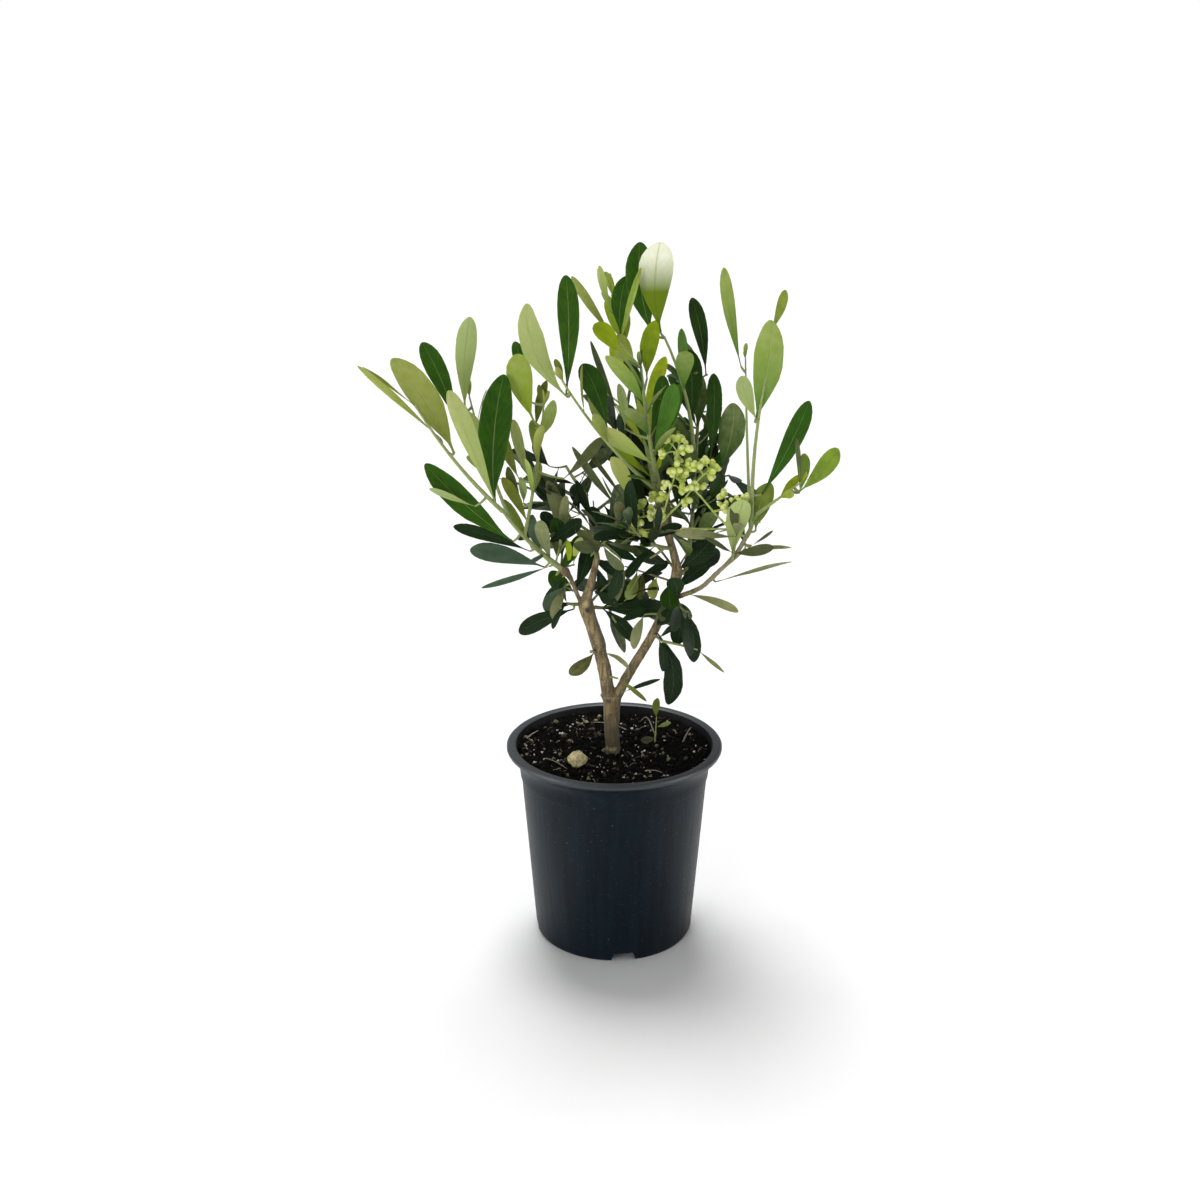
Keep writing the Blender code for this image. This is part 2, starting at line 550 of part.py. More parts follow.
# Shoot: name, parent, at, reach, azimuth, rise, bow, swerve, girth, first, pairs, leaf, turn,
#        step, splay, lift, age
MASSES = (
    Mass("left_outer_foliage", "left_side_branch", 0, 0, "olive", 11, (
        Shoot("stem", "", 0, 56, -154, 47, -2, 0, 1.9, .3, 3, 38, 60, 70, 60, .1, .9),
        Shoot("tip", "stem", 1, 87, -160, 53, -3, 0, 1.4, .45, 3, 42, 60, 90, 30, .2, .2),
        Shoot("behind", "stem", .85, 84, 126, 57, -3, 0, 1.2, .3, 4, 32, 0, 90, 34, .1, .3),
        Shoot("inner", "stem", .6, 82, 52, 76, -2, 0, 1.2, .3, 5, 40, 40, 90, 30, .1, .3),
        Shoot("knob", "stem", .08, 12, -37, 74, 0, 0, .8, .3, 2, 22, 0, 90, 30, .2, .2),
    ), (
        Single("tip", .06, -8, 26, 80, 13, -1),
        Single("tip", .08, 22, 50, 79, 20, 1),
        Single("stem", .8, 150, 18, 68, 12, 1),
        Single("tip", 1, 170, 24, 38, 6, 0),
        Single("tip", .69, 6, 8, 58, 13, -1),
        Single("behind", .84, -137, 25, 54, 11, 1),
        Single("behind", .96, -57, 34, 51, 12, -1),
        Single("inner", .88, -134, 31, 47, 14, -1),
        Single("inner", .69, -64, 26, 33, 8, -1),
        Single("stem", .22, 158, 42, 47, 9, 1),
        Single("stem", .52, 153, 46, 48, 7, 0),
        Single("stem", .14, 171, 67, 49, 5, 0),
        Single("stem", .14, -15, 32, 34, 9, -1),
    ), ()),
    Mass("left_back_foliage", "left_bough", 0, 0, "dark", 12, (
        Shoot("stem", "", 0, 44, 104, 49, -2, 0, 1.8, .2, 4, 48, 0, 70, 66, 0, 1),
        Shoot("far", "stem", 1, 54, 122, 34, -3, 0, 1.3, .2, 4, 50, 45, 90, 50, .1, .8),
        Shoot("right", "stem", .7, 48, 50, 22, -2, 0, 1.2, .3, 4, 52, 0, 90, 55, .1, .9),
        Shoot("left", "stem", .4, 42, 165, 40, -2, 0, 1.1, .3, 4, 44, 0, 90, 50, .1, .8),
        Shoot("front", "stem", .15, 30, -50, 44, -2, 0, 1.0, .35, 3, 34, 0, 90, 50, 0, .9),
    ), (), ()),
    Mass("left_lower_foliage", "left_bough", 228, -165, "dark", 13, (
        Shoot("stem", "", 0, 17, -150, 22, -1, 0, 1.1, .4, 3, 32, 40, 60, 50, -.25, 1),
    ), (
        Single("stem", .05, 156, 38, 41, 12, 1),
        Single("stem", .1, 126, 54, 21, 7, 0),
    ), ()),
    Mass("knot_foliage", "left_bough", 224, 40, "dark", 14, (
        Shoot("stem", "", 0, 26, 38, 4, -3, 0, 1.2, .4, 4, 44, 20, 60, 55, -.2, 1),
    ), (
        Single("stem", .16, -122, 35, 42, 12, 1),
        Single("stem", .18, -41, 44, 34, 9, 1),
        Single("stem", .2, -158, 36, 32, 9, 1),
    ), ()),
    Mass("left_bough_leaf", "left_bough", 196, -160, "olive", 22, (
        Shoot("stem", "", 0, 3, -160, 10, 0, 0, .8, .5, 0, 20, 0, 90, 40, 0, 1),
    ), (
        Single("stem", .7, 180, 50, 22, 9, 1),
    ), ()),
    Mass("fork_leaves", "trunk", 162, -15, "olive", 23, (
        Shoot("stem", "", 0, 4, -10, 25, 0, 0, .9, .5, 0, 20, 0, 90, 40, 0, 1),
    ), (
        Single("stem", .7, 180, 12, 28, 5, 0),
        Single("stem", .8, -40, 30, 17, 3, 0),
    ), ()),
    Mass("centre_foliage", "centre_bough", 0, 0, "olive", 15, (
        Shoot("stem", "", 0, 94, -118, 71, -3, 0, 1.9, .15, 6, 40, 45, 90, 42, .1, .5),
        Shoot("left", "stem", .06, 105, -148, 48, -4, 0, 1.4, .5, 3, 36, 90, 90, 32, .2, .2),
    ), (
        Single("left", .97, 45, 9, 58, 12, -1),
        Single("left", .95, 40, 39, 64, 14, 1),
        Single("left", .61, 53, 38, 42, 11, 1),
        Single("stem", .3, 176, 37, 44, 12, -1),
        Single("stem", .74, 179, 29, 40, 10, -1),
        Single("stem", .41, 19, 29, 44, 11, 1),
    ), (
        Panicle("stem", .02, 46, -62, 62, 2, .25, 5, 10),
        Panicle("stem", .02, 30, -50, 34, 2, .45, 3, 9),
        Panicle("stem", .02, 24, -140, -38, 4, .4, 3, 8),
    )),
    Mass("top_foliage", "centre_bough", 274, 130, "fresh", 16, (
        Shoot("stem", "", 0, 150, 153, 76, -3, 4, 1.8, .22, 8, 46, 20, 90, 42, .1, .35),
    ), (
        Single("stem", .75, -145, 35, 31, 13, -1),
        Single("stem", .86, -163, 30, 46, 6, 0),
        Single("stem", .83, -21, 28, 47, 6, 0),
        Single("stem", .93, -120, 11, 33, 6, 0),
    ), ()),
    Mass("upper_right_foliage", "right_bough", 246, 20, "dark", 17, (
        Shoot("stem", "", 0, 56, 60, 80, -2, 0, 1.9, .15, 6, 46, 90, 70, 62, 0, .9),
        Shoot("top", "stem", 1, 109, -140, 73, 0, 7, 1.5, .35, 4, 42, 30, 90, 32, .1, .3),
        Shoot("dark", "stem", .98, 86, 79, 76, -2, 0, 1.4, .2, 5, 44, 40, 90, 34, .1, .6),
        Shoot("back", "stem", .5, 74, 58, 40, -5, 0, 1.4, .3, 4, 50, 0, 90, 50, .1, .7),
    ), (
        Single("top", 1, -5, 26, 50, 19, -1),
        Single("top", 1, 52, 25, 50, 17, 1),
        Single("top", .76, -179, 5, 33, 11, -1),
        Single("dark", .93, -164, 12, 39, 9, 1),
        Single("dark", .34, -112, 25, 60, 14, 1),
        Single("dark", .31, -42, 12, 47, 10, 1),
        Single("dark", .06, -55, 38, 56, 11, -1),
    ), ()),
    Mass("right_foliage", "right_side_branch", 0, 0, "fresh", 18, (
        Shoot("stem", "", 0, 14, -40, 66, 0, 0, 1.4, .5, 1, 26, 90, 90, 50, 0, .8),
        Shoot("upright", "stem", .4, 112, 50, 81, 0, -4, 1.3, .4, 4, 34, 0, 90, 26, .1, .2),
        Shoot("outer", "stem", 1, 36, -26, 40, 0, 0, 1.1, .5, 2, 26, 90, 90, 40, .2, .2),
        Shoot("slender", "stem", .2, 106, 94, 68, -3, 0, 1.1, .3, 5, 36, 90, 90, 26, .1, .4),
    ), (
        Single("slender", 1, -144, 18, 54, 8, 1),
        Single("upright", .54, -100, 16, 65, 18, -1),
        Single("upright", .96, -170, 6, 34, 6, 0),
        Single("upright", .2, -23, 31, 62, 11, 1),
        Single("stem", .62, -52, 8, 31, 13, -1),
        Single("stem", .05, 0, 80, 22, 4, 0),
        Single("outer", 1, 110, 13, 30, 9, 1),
        Single("outer", .84, 162, 49, 28, 5, 0),
    ), ()),
    Mass("right_front_foliage", "right_side_branch", 263, -80, "olive", 19, (
        Shoot("stem", "", 0, 20, -75, 66, 0, 0, 1.1, .3, 2, 34, 0, 90, 55, .1, .8),
    ), (
        Single("stem", .15, 83, 15, 41, 14, -1),
        Single("stem", 1, -173, 85, 39, 8, -1),
        Single("stem", .05, 0, 75, 38, 4, 0),
    ), (
        Panicle("stem", .9, 46, -160, 62, 3, .6, 4, 10),
        Panicle("stem", .9, 20, -80, 70, 1, .6, 2, 8),
    )),
    Mass("right_lower_foliage", "right_bough", 232, -60, "dark", 20, (
        Shoot("stem", "", 0, 16, -60, -22, -2, 0, 1.3, .4, 2, 38, 60, 60, 58, -.3, 1),
    ), (
        Single("stem", .27, 58, 37, 40, 12, 1),
        Single("stem", .3, 48, 67, 33, 12, 1),
        Single("stem", .13, 0, 63, 20, 8, 1),
        Single("stem", .24, 142, 15, 14, 8, -1),
        Single("stem", .1, -103, 100, 26, 11, 1),
        Single("stem", .2, 146, 62, 40, 6, 0),
    ), ()),
    Mass("hanging_leaves", "right_bough", 207, -70, "dark", 24, (
        Shoot("stem", "", 0, 8, -60, -10, 0, 0, 1.1, .5, 1, 26, 0, 90, 60, -.2, 1),
    ), (
        Single("stem", .3, 22, 69, 45, 14, 1),
        Single("stem", .5, -26, 130, 20, 8, -1),
    ), ()),
    Mass("front_foliage", "centre_bough", 264, -120, "dark", 25, (
        Shoot("stem", "", 0, 46, -128, 30, -3, 0, 1.3, .3, 4, 42, 30, 90, 52, .05, .8),
    ), (), ()),
    Mass("soil_seedling", "soil", 0, 0, "fresh", 26, (
        Shoot("stem", "", 0, 17, 60, 84, 0, 0, .6, .5, 0, 20, 0, 90, 40, 0, .2),
    ), (
        Single("stem", 1, 90, 8, 13, 5, 1),
        Single("stem", .55, -10, 62, 11, 4, -1),
        Single("stem", .15, -150, 95, 11, 5, 1),
    ), ()),
    Mass("back_foliage", "centre_bough", 262, 95, "dark", 21, (
        Shoot("stem", "", 0, 88, 93, 44, -5, 0, 1.7, .3, 5, 50, 0, 90, 52, .1, .8),
        Shoot("left", "stem", .45, 54, 150, 45, -3, 0, 1.2, .25, 4, 46, 0, 90, 45, .1, .6),
        Shoot("right", "stem", .4, 44, 40, 30, -3, 0, 1.2, .25, 3, 46, 0, 90, 45, .1, .8),
    ), (), ()),
)

TINTS = {"olive": (0.20, 0.27, 0.09), "dark": (0.03, 0.10, 0.03), "fresh": (0.24, 0.35, 0.07)}


def limb_point(stations, height):
    """Centre and radius of a limb where it passes a height; height 0 is its tip."""
    if not height:
        return Vector(stations[-1][:3]), stations[-1][3]
    for low, high in zip(stations, stations[1:]):
        if low[2] <= height <= high[2]:
            share = (height - low[2]) / (high[2] - low[2])
            radius = [r[0] if isinstance(r, tuple) else r for r in (low[3], high[3])]
            centre = Vector(low[:3]).lerp(Vector(high[:3]), share)
            return centre, radius[0] + share * (radius[1] - radius[0])
    raise ValueError(f"no limb at height {height}")


def make_limb(name, stations, material):
    path = [Vector(station[:3]) for station in stations]
    first_axis = UP if name in LEVEL_FOOTED else None
    last_axis = UP if name == "trunk" else None
    radii = [station[3] for station in stations]
    points, faces = tube(path, radii, LIMB_SIDES, first_axis, last_axis)
    make_object(name, points, faces, material, smooth=True)
    return tree_of(points, faces)


def socket(mass):
    """Where a mass's stem starts, 0.3 mm clear of its limb's tip or side, and the direction
    that its first end is square to."""
    if mass.limb == "soil":
        level = soil_level(math.hypot(*SEEDLING_PLACE))
        return Vector((*SEEDLING_PLACE, level + SOIL_UNEVEN + GAP)), UP
    stations = LIMBS[mass.limb]
    centre, radius = limb_point(stations, mass.height)
    if not mass.height:
        axis = (centre - Vector(stations[-2][:3])).normalized()
        return centre + axis * GAP, axis
    reach = radius * 1.15 + GAP + mass.shoots[0].girth * 0.9
    return centre + heading(mass.side, 0) * reach, None


def grow_twigs(mass, obstacles):
    """The shoots of one mass: their paths by name, and their closed pieces."""
    paths, pieces = {}, []
    for row in mass.shoots:
        if row.parent and row.parent not in paths:
            continue
        if row.parent:
            start, first_axis = paths[row.parent].point(row.at), None
        else:
            start, first_axis = socket(mass)
        steps = 5 if row.reach > 60 else 3
        for nudge in TWIG_TURNS:
            path = Path(start, row._replace(azimuth=row.azimuth + nudge))
            line = [path.point(k / steps) for k in range(steps + 1)]
            radii = [row.girth * (1 - TWIG_TAPER * k / steps) for k in range(steps + 1)]
            free = [path.point(min(0.3, 4.0 / row.reach))] + line[1:]
            whole = tube(line, radii, TWIG_SIDES, first_axis)
            wide = tube(free, [radius + TWIG_CLEARANCE for radius in radii], TWIG_SIDES)
            if clear(whole, obstacles) and clear(wide, obstacles):
                paths[row.name] = path
                pieces.append(whole)
                break
        else:
            print(mass.name, row.name, "has no room")
    return paths, pieces


def grow_leaves(mass, paths, obstacles):
    """The leaves and flower buds of one mass; one that would touch another body is turned a
    little on its shoot, and left out if that isn't enough."""
    dice = random.Random(mass.seed)
    pieces, skipped = [], 0
    leaves = [
        Leaf(*one[:6], 0, dice.uniform(-4, 14), dice.uniform(-12, 12), one.view)
        for one in mass.singles
    ]
    leaves += [leaf for row in mass.shoots for leaf in pair_rows(row, dice)]
    for leaf in leaves:
        if leaf.shoot not in paths:
            continue
        bend = math.radians(leaf.bend)
        for nudge in LEAF_TURNS:
            base, direction, face = place_leaf(paths[leaf.shoot], leaf, nudge)
            length, width = leaf.length + CLEARANCE, leaf.width + 2 * CLEARANCE
            if clear(leaf_mesh(base, direction, face, length, width, bend), obstacles):
                shape = leaf_mesh(base, direction, face, leaf.length, leaf.width, bend)
                pieces.append(shape)
                break
        else:
            skipped += 1
    for row in [row for row in mass.panicles if row.shoot in paths]:
        pieces += [one for one in panicle(row, paths[row.shoot], dice) if clear(one, obstacles)]
    return pieces, skipped


def panicle(row, parent, dice):
    """A stalk with opposite side stalks, each ending in a knot of buds."""
    stalk = Shoot("stalk", "", 0, row.reach, row.azimuth, row.rise, row.bow, *[0] * 9, 0)
    path = Path(parent.point(row.at), stalk)
    steps = len(STALK_RADII) - 1
    line = [path.point(k / steps) for k in range(steps + 1)]
    pieces = [tube(line, STALK_RADII, TWIG_SIDES)]
    for node in range(row.nodes):
        share = row.first + (1 - row.first) * node / (row.nodes - 1)
        axis = path.axis(share)
        right, back = across(axis)
        reach = row.branch * (1 - 0.55 * node / row.nodes)
        for half in (0, 180):
            angle = math.radians(90 * node + half + dice.uniform(-20, 20))
            way = axis * 0.55 + (right * math.cos(angle) + back * math.sin(angle)) * 0.85
            way.normalize()
            base = path.point(share)
            end = base + way * reach
            pieces.append(tube([base, end], SIDE_STALK_RADII, TWIG_SIDES))
            pieces.append(bud_mesh(end, way, dice.uniform(*BUD_SIZES)))
    pieces.append(bud_mesh(path.point(1.0), path.axis(1.0), END_BUD_SIZE))
    return pieces


def make_mass(mass, twigs, leaves, material):
    """One solid node: its twigs, leaves and buds joined."""
    pieces = twigs + leaves
    collection = bpy.data.collections.new(mass.name + "_pieces")
    bpy.context.scene.collection.children.link(collection)
    for index, (points, faces) in enumerate(pieces[1:]):
        make_object(f"{mass.name}_{index}", points, faces, material, collection=collection)
    obj = make_object(mass.name, *pieces[0], material)
    join_with(obj, collection, "UNION")
    scraps = drop_scraps(obj)
    print(mass.name, len(pieces), "pieces,", len(obj.data.polygons), "faces, dropped", scraps)
    return obj


def tree_of_object(obj):
    points = [vert.co / MM for vert in obj.data.vertices]
    return tree_of(points, [tuple(polygon.vertices) for polygon in obj.data.polygons])


SOLIDS = ("pot", "soil", "pale_stone")


def main():
    clear_scene()
    plastic = make_material("slate_plastic", (0.016, 0.026, 0.036), 0.42)
    earth = make_material("potting_soil", (0.012, 0.010, 0.008), 0.95)
    bark = make_material("bark", (0.30, 0.22, 0.14), 0.8)
    tints = {name: make_material(f"{name}_leaves", tint, 0.5) for name, tint in TINTS.items()}
    make_pot(plastic)
    make_soil(earth)
    make_stone(make_material("pale_stone", (0.62, 0.53, 0.33), 0.9))
    bodies = [make_limb(name, stations, bark) for name, stations in LIMBS.items()]
    bodies += [tree_of_object(bpy.data.objects[name]) for name in SOLIDS]
    paths, twigs, twig_trees = {}, {}, {}
    for mass in MASSES:
        others = bodies + [tree for trees in twig_trees.values() for tree in trees]
        paths[mass.name], twigs[mass.name] = grow_twigs(mass, others)
        twig_trees[mass.name] = [tree_of(*piece) for piece in twigs[mass.name]]
    for mass in MASSES:
        del twig_trees[mass.name]
        others = bodies + [tree for trees in twig_trees.values() for tree in trees]
        leaves, skipped = grow_leaves(mass, paths[mass.name], others)
        obj = make_mass(mass, twigs[mass.name], leaves, tints[mass.tint])
        bodies.append(tree_of_object(obj))
        if skipped:
            print(mass.name, skipped, "leaves left out")


main()
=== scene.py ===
# %% [markdown]
# # A young olive tree in its nursery container
#
# This lesson dresses a packed set of plain solids as a real plant. The solids say where
# everything is; every visible surface is made again here, finer, and rides on the same body.
# The order is that of a studio: frame, camera, light, finishes, container, soil, wood,
# and then the crown, which grows by a rule instead of being placed leaf by leaf.

# %% Load the frame
import json
import math
import random
from collections import namedtuple

import bmesh
import bpy
from mathutils import Matrix, Vector, noise

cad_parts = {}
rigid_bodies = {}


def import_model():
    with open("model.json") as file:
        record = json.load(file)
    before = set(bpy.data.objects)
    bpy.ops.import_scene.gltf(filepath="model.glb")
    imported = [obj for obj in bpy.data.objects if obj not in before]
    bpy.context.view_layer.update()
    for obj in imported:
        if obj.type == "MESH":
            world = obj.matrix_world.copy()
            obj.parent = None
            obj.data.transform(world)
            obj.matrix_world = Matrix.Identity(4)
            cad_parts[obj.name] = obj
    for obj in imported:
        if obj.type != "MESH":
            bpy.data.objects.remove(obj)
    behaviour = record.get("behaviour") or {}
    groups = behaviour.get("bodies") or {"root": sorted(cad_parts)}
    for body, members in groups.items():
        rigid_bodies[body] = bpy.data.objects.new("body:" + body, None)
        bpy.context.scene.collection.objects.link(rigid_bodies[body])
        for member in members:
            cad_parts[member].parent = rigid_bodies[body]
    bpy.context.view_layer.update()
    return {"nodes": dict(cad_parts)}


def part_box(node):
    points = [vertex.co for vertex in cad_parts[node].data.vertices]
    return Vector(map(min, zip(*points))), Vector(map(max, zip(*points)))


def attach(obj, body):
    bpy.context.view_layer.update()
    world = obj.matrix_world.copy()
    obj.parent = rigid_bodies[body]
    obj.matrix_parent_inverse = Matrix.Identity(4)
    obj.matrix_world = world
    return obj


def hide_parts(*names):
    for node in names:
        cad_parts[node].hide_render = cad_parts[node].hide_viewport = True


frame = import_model()
MM = 0.001
UP = Vector((0.0, 0.0, 1.0))
AWAY = Vector((0.0, 1.0, 0.0))
print("nodes in the frame:", len(frame["nodes"]))

# %% [markdown]
# ## Camera
#
# A product camera looks slightly down on a pot plant, so the soil shows as an ellipse and the
# crown still stands against the backdrop. The place and the angles are set as numbers rather
# than with a Track To constraint, because a fixed matrix is the same on every run.

# %% Camera
CAMERA_PLACE = (0.0, -0.9675, 0.548)
CAMERA_DOWN = 18.18
CAMERA_LEFT = 0.555
LENS, SENSOR_WIDTH = 48.0, 36.0


def shown(name, data):
    """An object for a mesh, a camera or a lamp, at the origin of the scene."""
    obj = bpy.data.objects.new(name, data)
    bpy.context.scene.collection.objects.link(obj)
    return obj


camera = shown("camera", bpy.data.cameras.new("camera"))
camera.data.lens, camera.data.sensor_width = LENS, SENSOR_WIDTH
camera.location = CAMERA_PLACE
camera.rotation_euler = (math.radians(90 - CAMERA_DOWN), 0.0, math.radians(CAMERA_LEFT))
bpy.context.scene.camera = camera
print("camera is", round(Vector(CAMERA_PLACE).length, 2), "m from the foot of the pot")

# %% [markdown]
# ## Helpers for nodes and colours
#
# Colours are written as the sRGB hex values that a colour picker shows. Shaders work on linear
# light, so one function turns one into the other. One more function adds a node: its settings
# are either properties or the values of its sockets, and its links come from other nodes.

# %% Node and colour helpers
def linear(hex_colour):
    """An sRGB hex colour as linear RGBA."""
    parts = [int(hex_colour[i:i + 2], 16) / 255 for i in (1, 3, 5)]
    return (*[p / 12.92 if p <= 0.04045 else ((p + 0.055) / 1.055) ** 2.4 for p in parts], 1.0)


def add(tree, kind, settings=None, **links):
    """A new node. A setting whose name is a socket's name or number is that socket's value, and
    any other is a property. A link's key is a socket name with _ for spaces, or s and a number."""
    node = tree.nodes.new(kind)
    for name, value in (settings or {}).items():
        if isinstance(name, int) or name in node.inputs:
            node.inputs[name].default_value = value
        else:
            setattr(node, name, value)
    for name, source in links.items():
        socket = int(name[1:]) if name[0] == "s" and name[1:].isdigit() else name.replace("_", " ")
        tree.links.new(source, node.inputs[socket])
    return node


def surface(name, **values):
    """A material with one Principled shader, and its tree. Sockets are named with _ for spaces."""
    material = bpy.data.materials.new(name)
    material.use_nodes = True
    shader = material.node_tree.nodes["Principled BSDF"]
    for key, value in values.items():
        shader.inputs[key.replace("_", " ")].default_value = value
    return material, material.node_tree, shader


def mix(tree, factor, first, second, blend="MIX"):
    """The colour output of a Mix node; either colour may be a hex string or a socket."""
    node = add(tree, "ShaderNodeMix", {"data_type": "RGBA", "blend_type": blend})
    for slot, value in ((0, factor), (6, first), (7, second)):
        if isinstance(value, str):
            node.inputs[slot].default_value = linear(value)
        elif isinstance(value, (int, float)):
            node.inputs[slot].default_value = value
        else:
            tree.links.new(value, node.inputs[slot])
    return node.outputs[2]


def weighted(tree, value, weight):
    """A mask made weaker, so that it never hides all of what lies under it."""
    return add(tree, "ShaderNodeMath", {"operation": "MULTIPLY", 1: weight}, s0=value).outputs[0]


def grain(tree, size_mm, stretch=(1.0, 1.0, 1.0), detail=3.0, low=0.35, high=0.65):
    """Noise on Object coordinates whose blotches are about size_mm across, as 0 to 1."""
    place = add(tree, "ShaderNodeTexCoord").outputs["Object"]
    squeezed = add(tree, "ShaderNodeMapping", {"Scale": stretch}, Vector=place).outputs[0]
    found = add(tree, "ShaderNodeTexNoise", {"Scale": 1000.0 / size_mm, "Detail": detail}, Vector=squeezed)
    spread = {"From Min": low, "From Max": high}
    return add(tree, "ShaderNodeMapRange", spread, Value=found.outputs[0]).outputs[0]


def bump(tree, shader, height, depth_mm, under=None):
    """Raises the surface by depth_mm where height is 1; under is another Bump to stand on."""
    node = add(tree, "ShaderNodeBump", {"Distance": depth_mm * MM, "Strength": 1.0}, Height=height)
    if under:
        tree.links.new(under.outputs[0], node.inputs["Normal"])
    tree.links.new(node.outputs[0], shader.inputs["Normal"])
    return node


# %% [markdown]
# ## Floor, backdrop and light
#
# The plant stands on a seamless pale sweep. A very large plane in one white and a world of the
# same white have no visible join. Young leaves look soft and round under a broad light, and one
# that hangs a little behind the plant draws the shadow of crown and container forward, as a
# wide soft pool. The container needs a bright strip at each side to draw its two long
# highlights; the strips show in gloss only, so they don't wash out the pool. A low softbox from
# the front left grazes the floor but meets leaves and bark squarely, so it models them. The
# world is brighter to the camera than to the plant, so the backdrop stays white while the shade
# inside the crown stays deep.

# %% Floor, world and lights
BACKDROP = "#ffffff"
FLOOR_HALF_WIDTH = 40.0
WORLD_LIGHT = 0.38
KEY_PLACE = (-0.15, 0.75, 2.0)
KEY_STRENGTH = 2.25
KEY_SPREAD = 26.0
FRONT_PLACE = (-1.1, -1.5, 0.2)
FRONT_STRENGTH = 1.25
FRONT_SPREAD = 30.0
STRIP_PLACE, STRIP_TARGET = (0.95, -0.25, 0.45), (0.0, 0.0, 0.16)
STRIP_POWER, STRIP_WIDTH, STRIP_HEIGHT = 11.0, 0.35, 1.1

side = FLOOR_HALF_WIDTH
floor = shown("floor", bpy.data.meshes.new("floor"))
floor.data.from_pydata([(-side, -side, 0), (side, -side, 0), (side, side, 0), (-side, side, 0)],
                       [], [(0, 1, 2, 3)])
paper, _, _ = surface("matte_paper_sweep", Base_Color=linear(BACKDROP), Roughness=0.9, Specular_IOR_Level=0.1)
floor.data.materials.append(paper)

world = bpy.data.worlds.new("studio")
bpy.context.scene.world = world
world.use_nodes = True
sky = world.node_tree
sky.nodes.clear()
seen = add(sky, "ShaderNodeLightPath").outputs["Is Camera Ray"]
dim = add(sky, "ShaderNodeBackground", {"Color": linear(BACKDROP), "Strength": WORLD_LIGHT})
bright = add(sky, "ShaderNodeBackground", {"Color": linear(BACKDROP), "Strength": 1.0})
both = add(sky, "ShaderNodeMixShader", {}, s0=seen, s1=dim.outputs[0], s2=bright.outputs[0])
add(sky, "ShaderNodeOutputWorld", {}, Surface=both.outputs[0])


def light(name, kind, place, target, **values):
    """A lamp that stands at a place, in metres, and faces a target."""
    obj = shown(name, bpy.data.lights.new(name, kind))
    for key, value in values.items():
        setattr(obj.data, key, value)
    obj.location = place
    obj.rotation_euler = (Vector(target) - Vector(place)).to_track_quat("-Z", "Y").to_euler()
    return obj


light("key", "SUN", KEY_PLACE, (0, 0, 0), energy=KEY_STRENGTH, angle=math.radians(KEY_SPREAD))
front = light("front", "SUN", FRONT_PLACE, (0, 0, 0), energy=FRONT_STRENGTH, angle=math.radians(FRONT_SPREAD))
front.visible_glossy = False
for name, hand in (("strip_left", -1), ("strip_right", 1)):
    strip = light(name, "AREA", (hand * STRIP_PLACE[0], *STRIP_PLACE[1:]), STRIP_TARGET,
                  energy=STRIP_POWER, shape="RECTANGLE", size=STRIP_WIDTH, size_y=STRIP_HEIGHT)
    strip.visible_diffuse = False
bpy.context.scene.view_settings.view_transform = "Standard"
print("lights:", [o.name for o in bpy.context.scene.objects if o.type == "LIGHT"])

# %% [markdown]
# ## Making and finishing a piece
#
# Every piece is a mesh whose object stays at the origin. `plain` makes one from points in
# millimetres, `tube_faces` joins rings of points and `store` writes numbers on points for the
# node trees to read. `grown` runs a Geometry Nodes tree on a source object and keeps the result as a
# plain mesh: a modifier's inputs are set by their identifiers, before the object is evaluated.

# %% Piece helpers
def plain(name, points, faces, material=None, smooth=True):
    """An object from points in millimetres."""
    mesh = bpy.data.meshes.new(name)
    mesh.from_pydata([Vector(p) * MM for p in points], [], faces)
    mesh.shade_smooth() if smooth else mesh.shade_flat()
    if material:
        mesh.materials.append(material)
    return shown(name, mesh)


def tube_faces(rings, around, first=0):
    """The quads between rings of points that follow one another."""
    faces = []
    for low in range(rings - 1):
        for k in range(around):
            a, b = first + low * around + k, first + low * around + (k + 1) % around
            faces.append((a, b, b + around, a + around))
    return faces


def store(mesh, kind, **columns):
    """Point attributes of one kind on a mesh, each from a flat list of numbers."""
    field = {"FLOAT_VECTOR": "vector", "FLOAT_COLOR": "color"}.get(kind, "value")
    for name, numbers in columns.items():
        mesh.attributes.new(name, kind, "POINT").data.foreach_set(field, numbers)


def fixed(obj):
    """The object with its modifiers turned into a plain mesh."""
    bpy.context.view_layer.update()
    graph = bpy.context.evaluated_depsgraph_get()
    mesh = bpy.data.meshes.new_from_object(obj.evaluated_get(graph), depsgraph=graph)
    mesh.name = obj.name
    obj.modifiers.clear()
    obj.data = mesh
    return obj


def grown(obj, tree, **values):
    """Runs a Geometry Nodes tree on the object and keeps what it makes."""
    modifier = obj.modifiers.new("grow", "NODES")
    modifier.node_group = tree
    for item in tree.interface.items_tree:
        key = item.name.replace(" ", "_").lower()
        if item.in_out == "INPUT" and key in values:
            modifier[item.identifier] = values[key]
    return fixed(obj)


def nodes_tree(name, **inputs):
    """A Geometry Nodes group with named inputs; returns the tree, its input and its output node."""
    tree = bpy.data.node_groups.new(name, "GeometryNodeTree")
    face = tree.interface
    face.new_socket("Geometry", in_out="INPUT", socket_type="NodeSocketGeometry")
    face.new_socket("Geometry", in_out="OUTPUT", socket_type="NodeSocketGeometry")
    for label, value in inputs.items():
        kind = value if isinstance(value, str) else "Int" if isinstance(value, int) else "Float"
        socket = face.new_socket(label.replace("_", " "), in_out="INPUT", socket_type=f"NodeSocket{kind}")
        if not isinstance(value, str):
            socket.default_value = value
    return tree, add(tree, "NodeGroupInput").outputs, add(tree, "NodeGroupOutput")


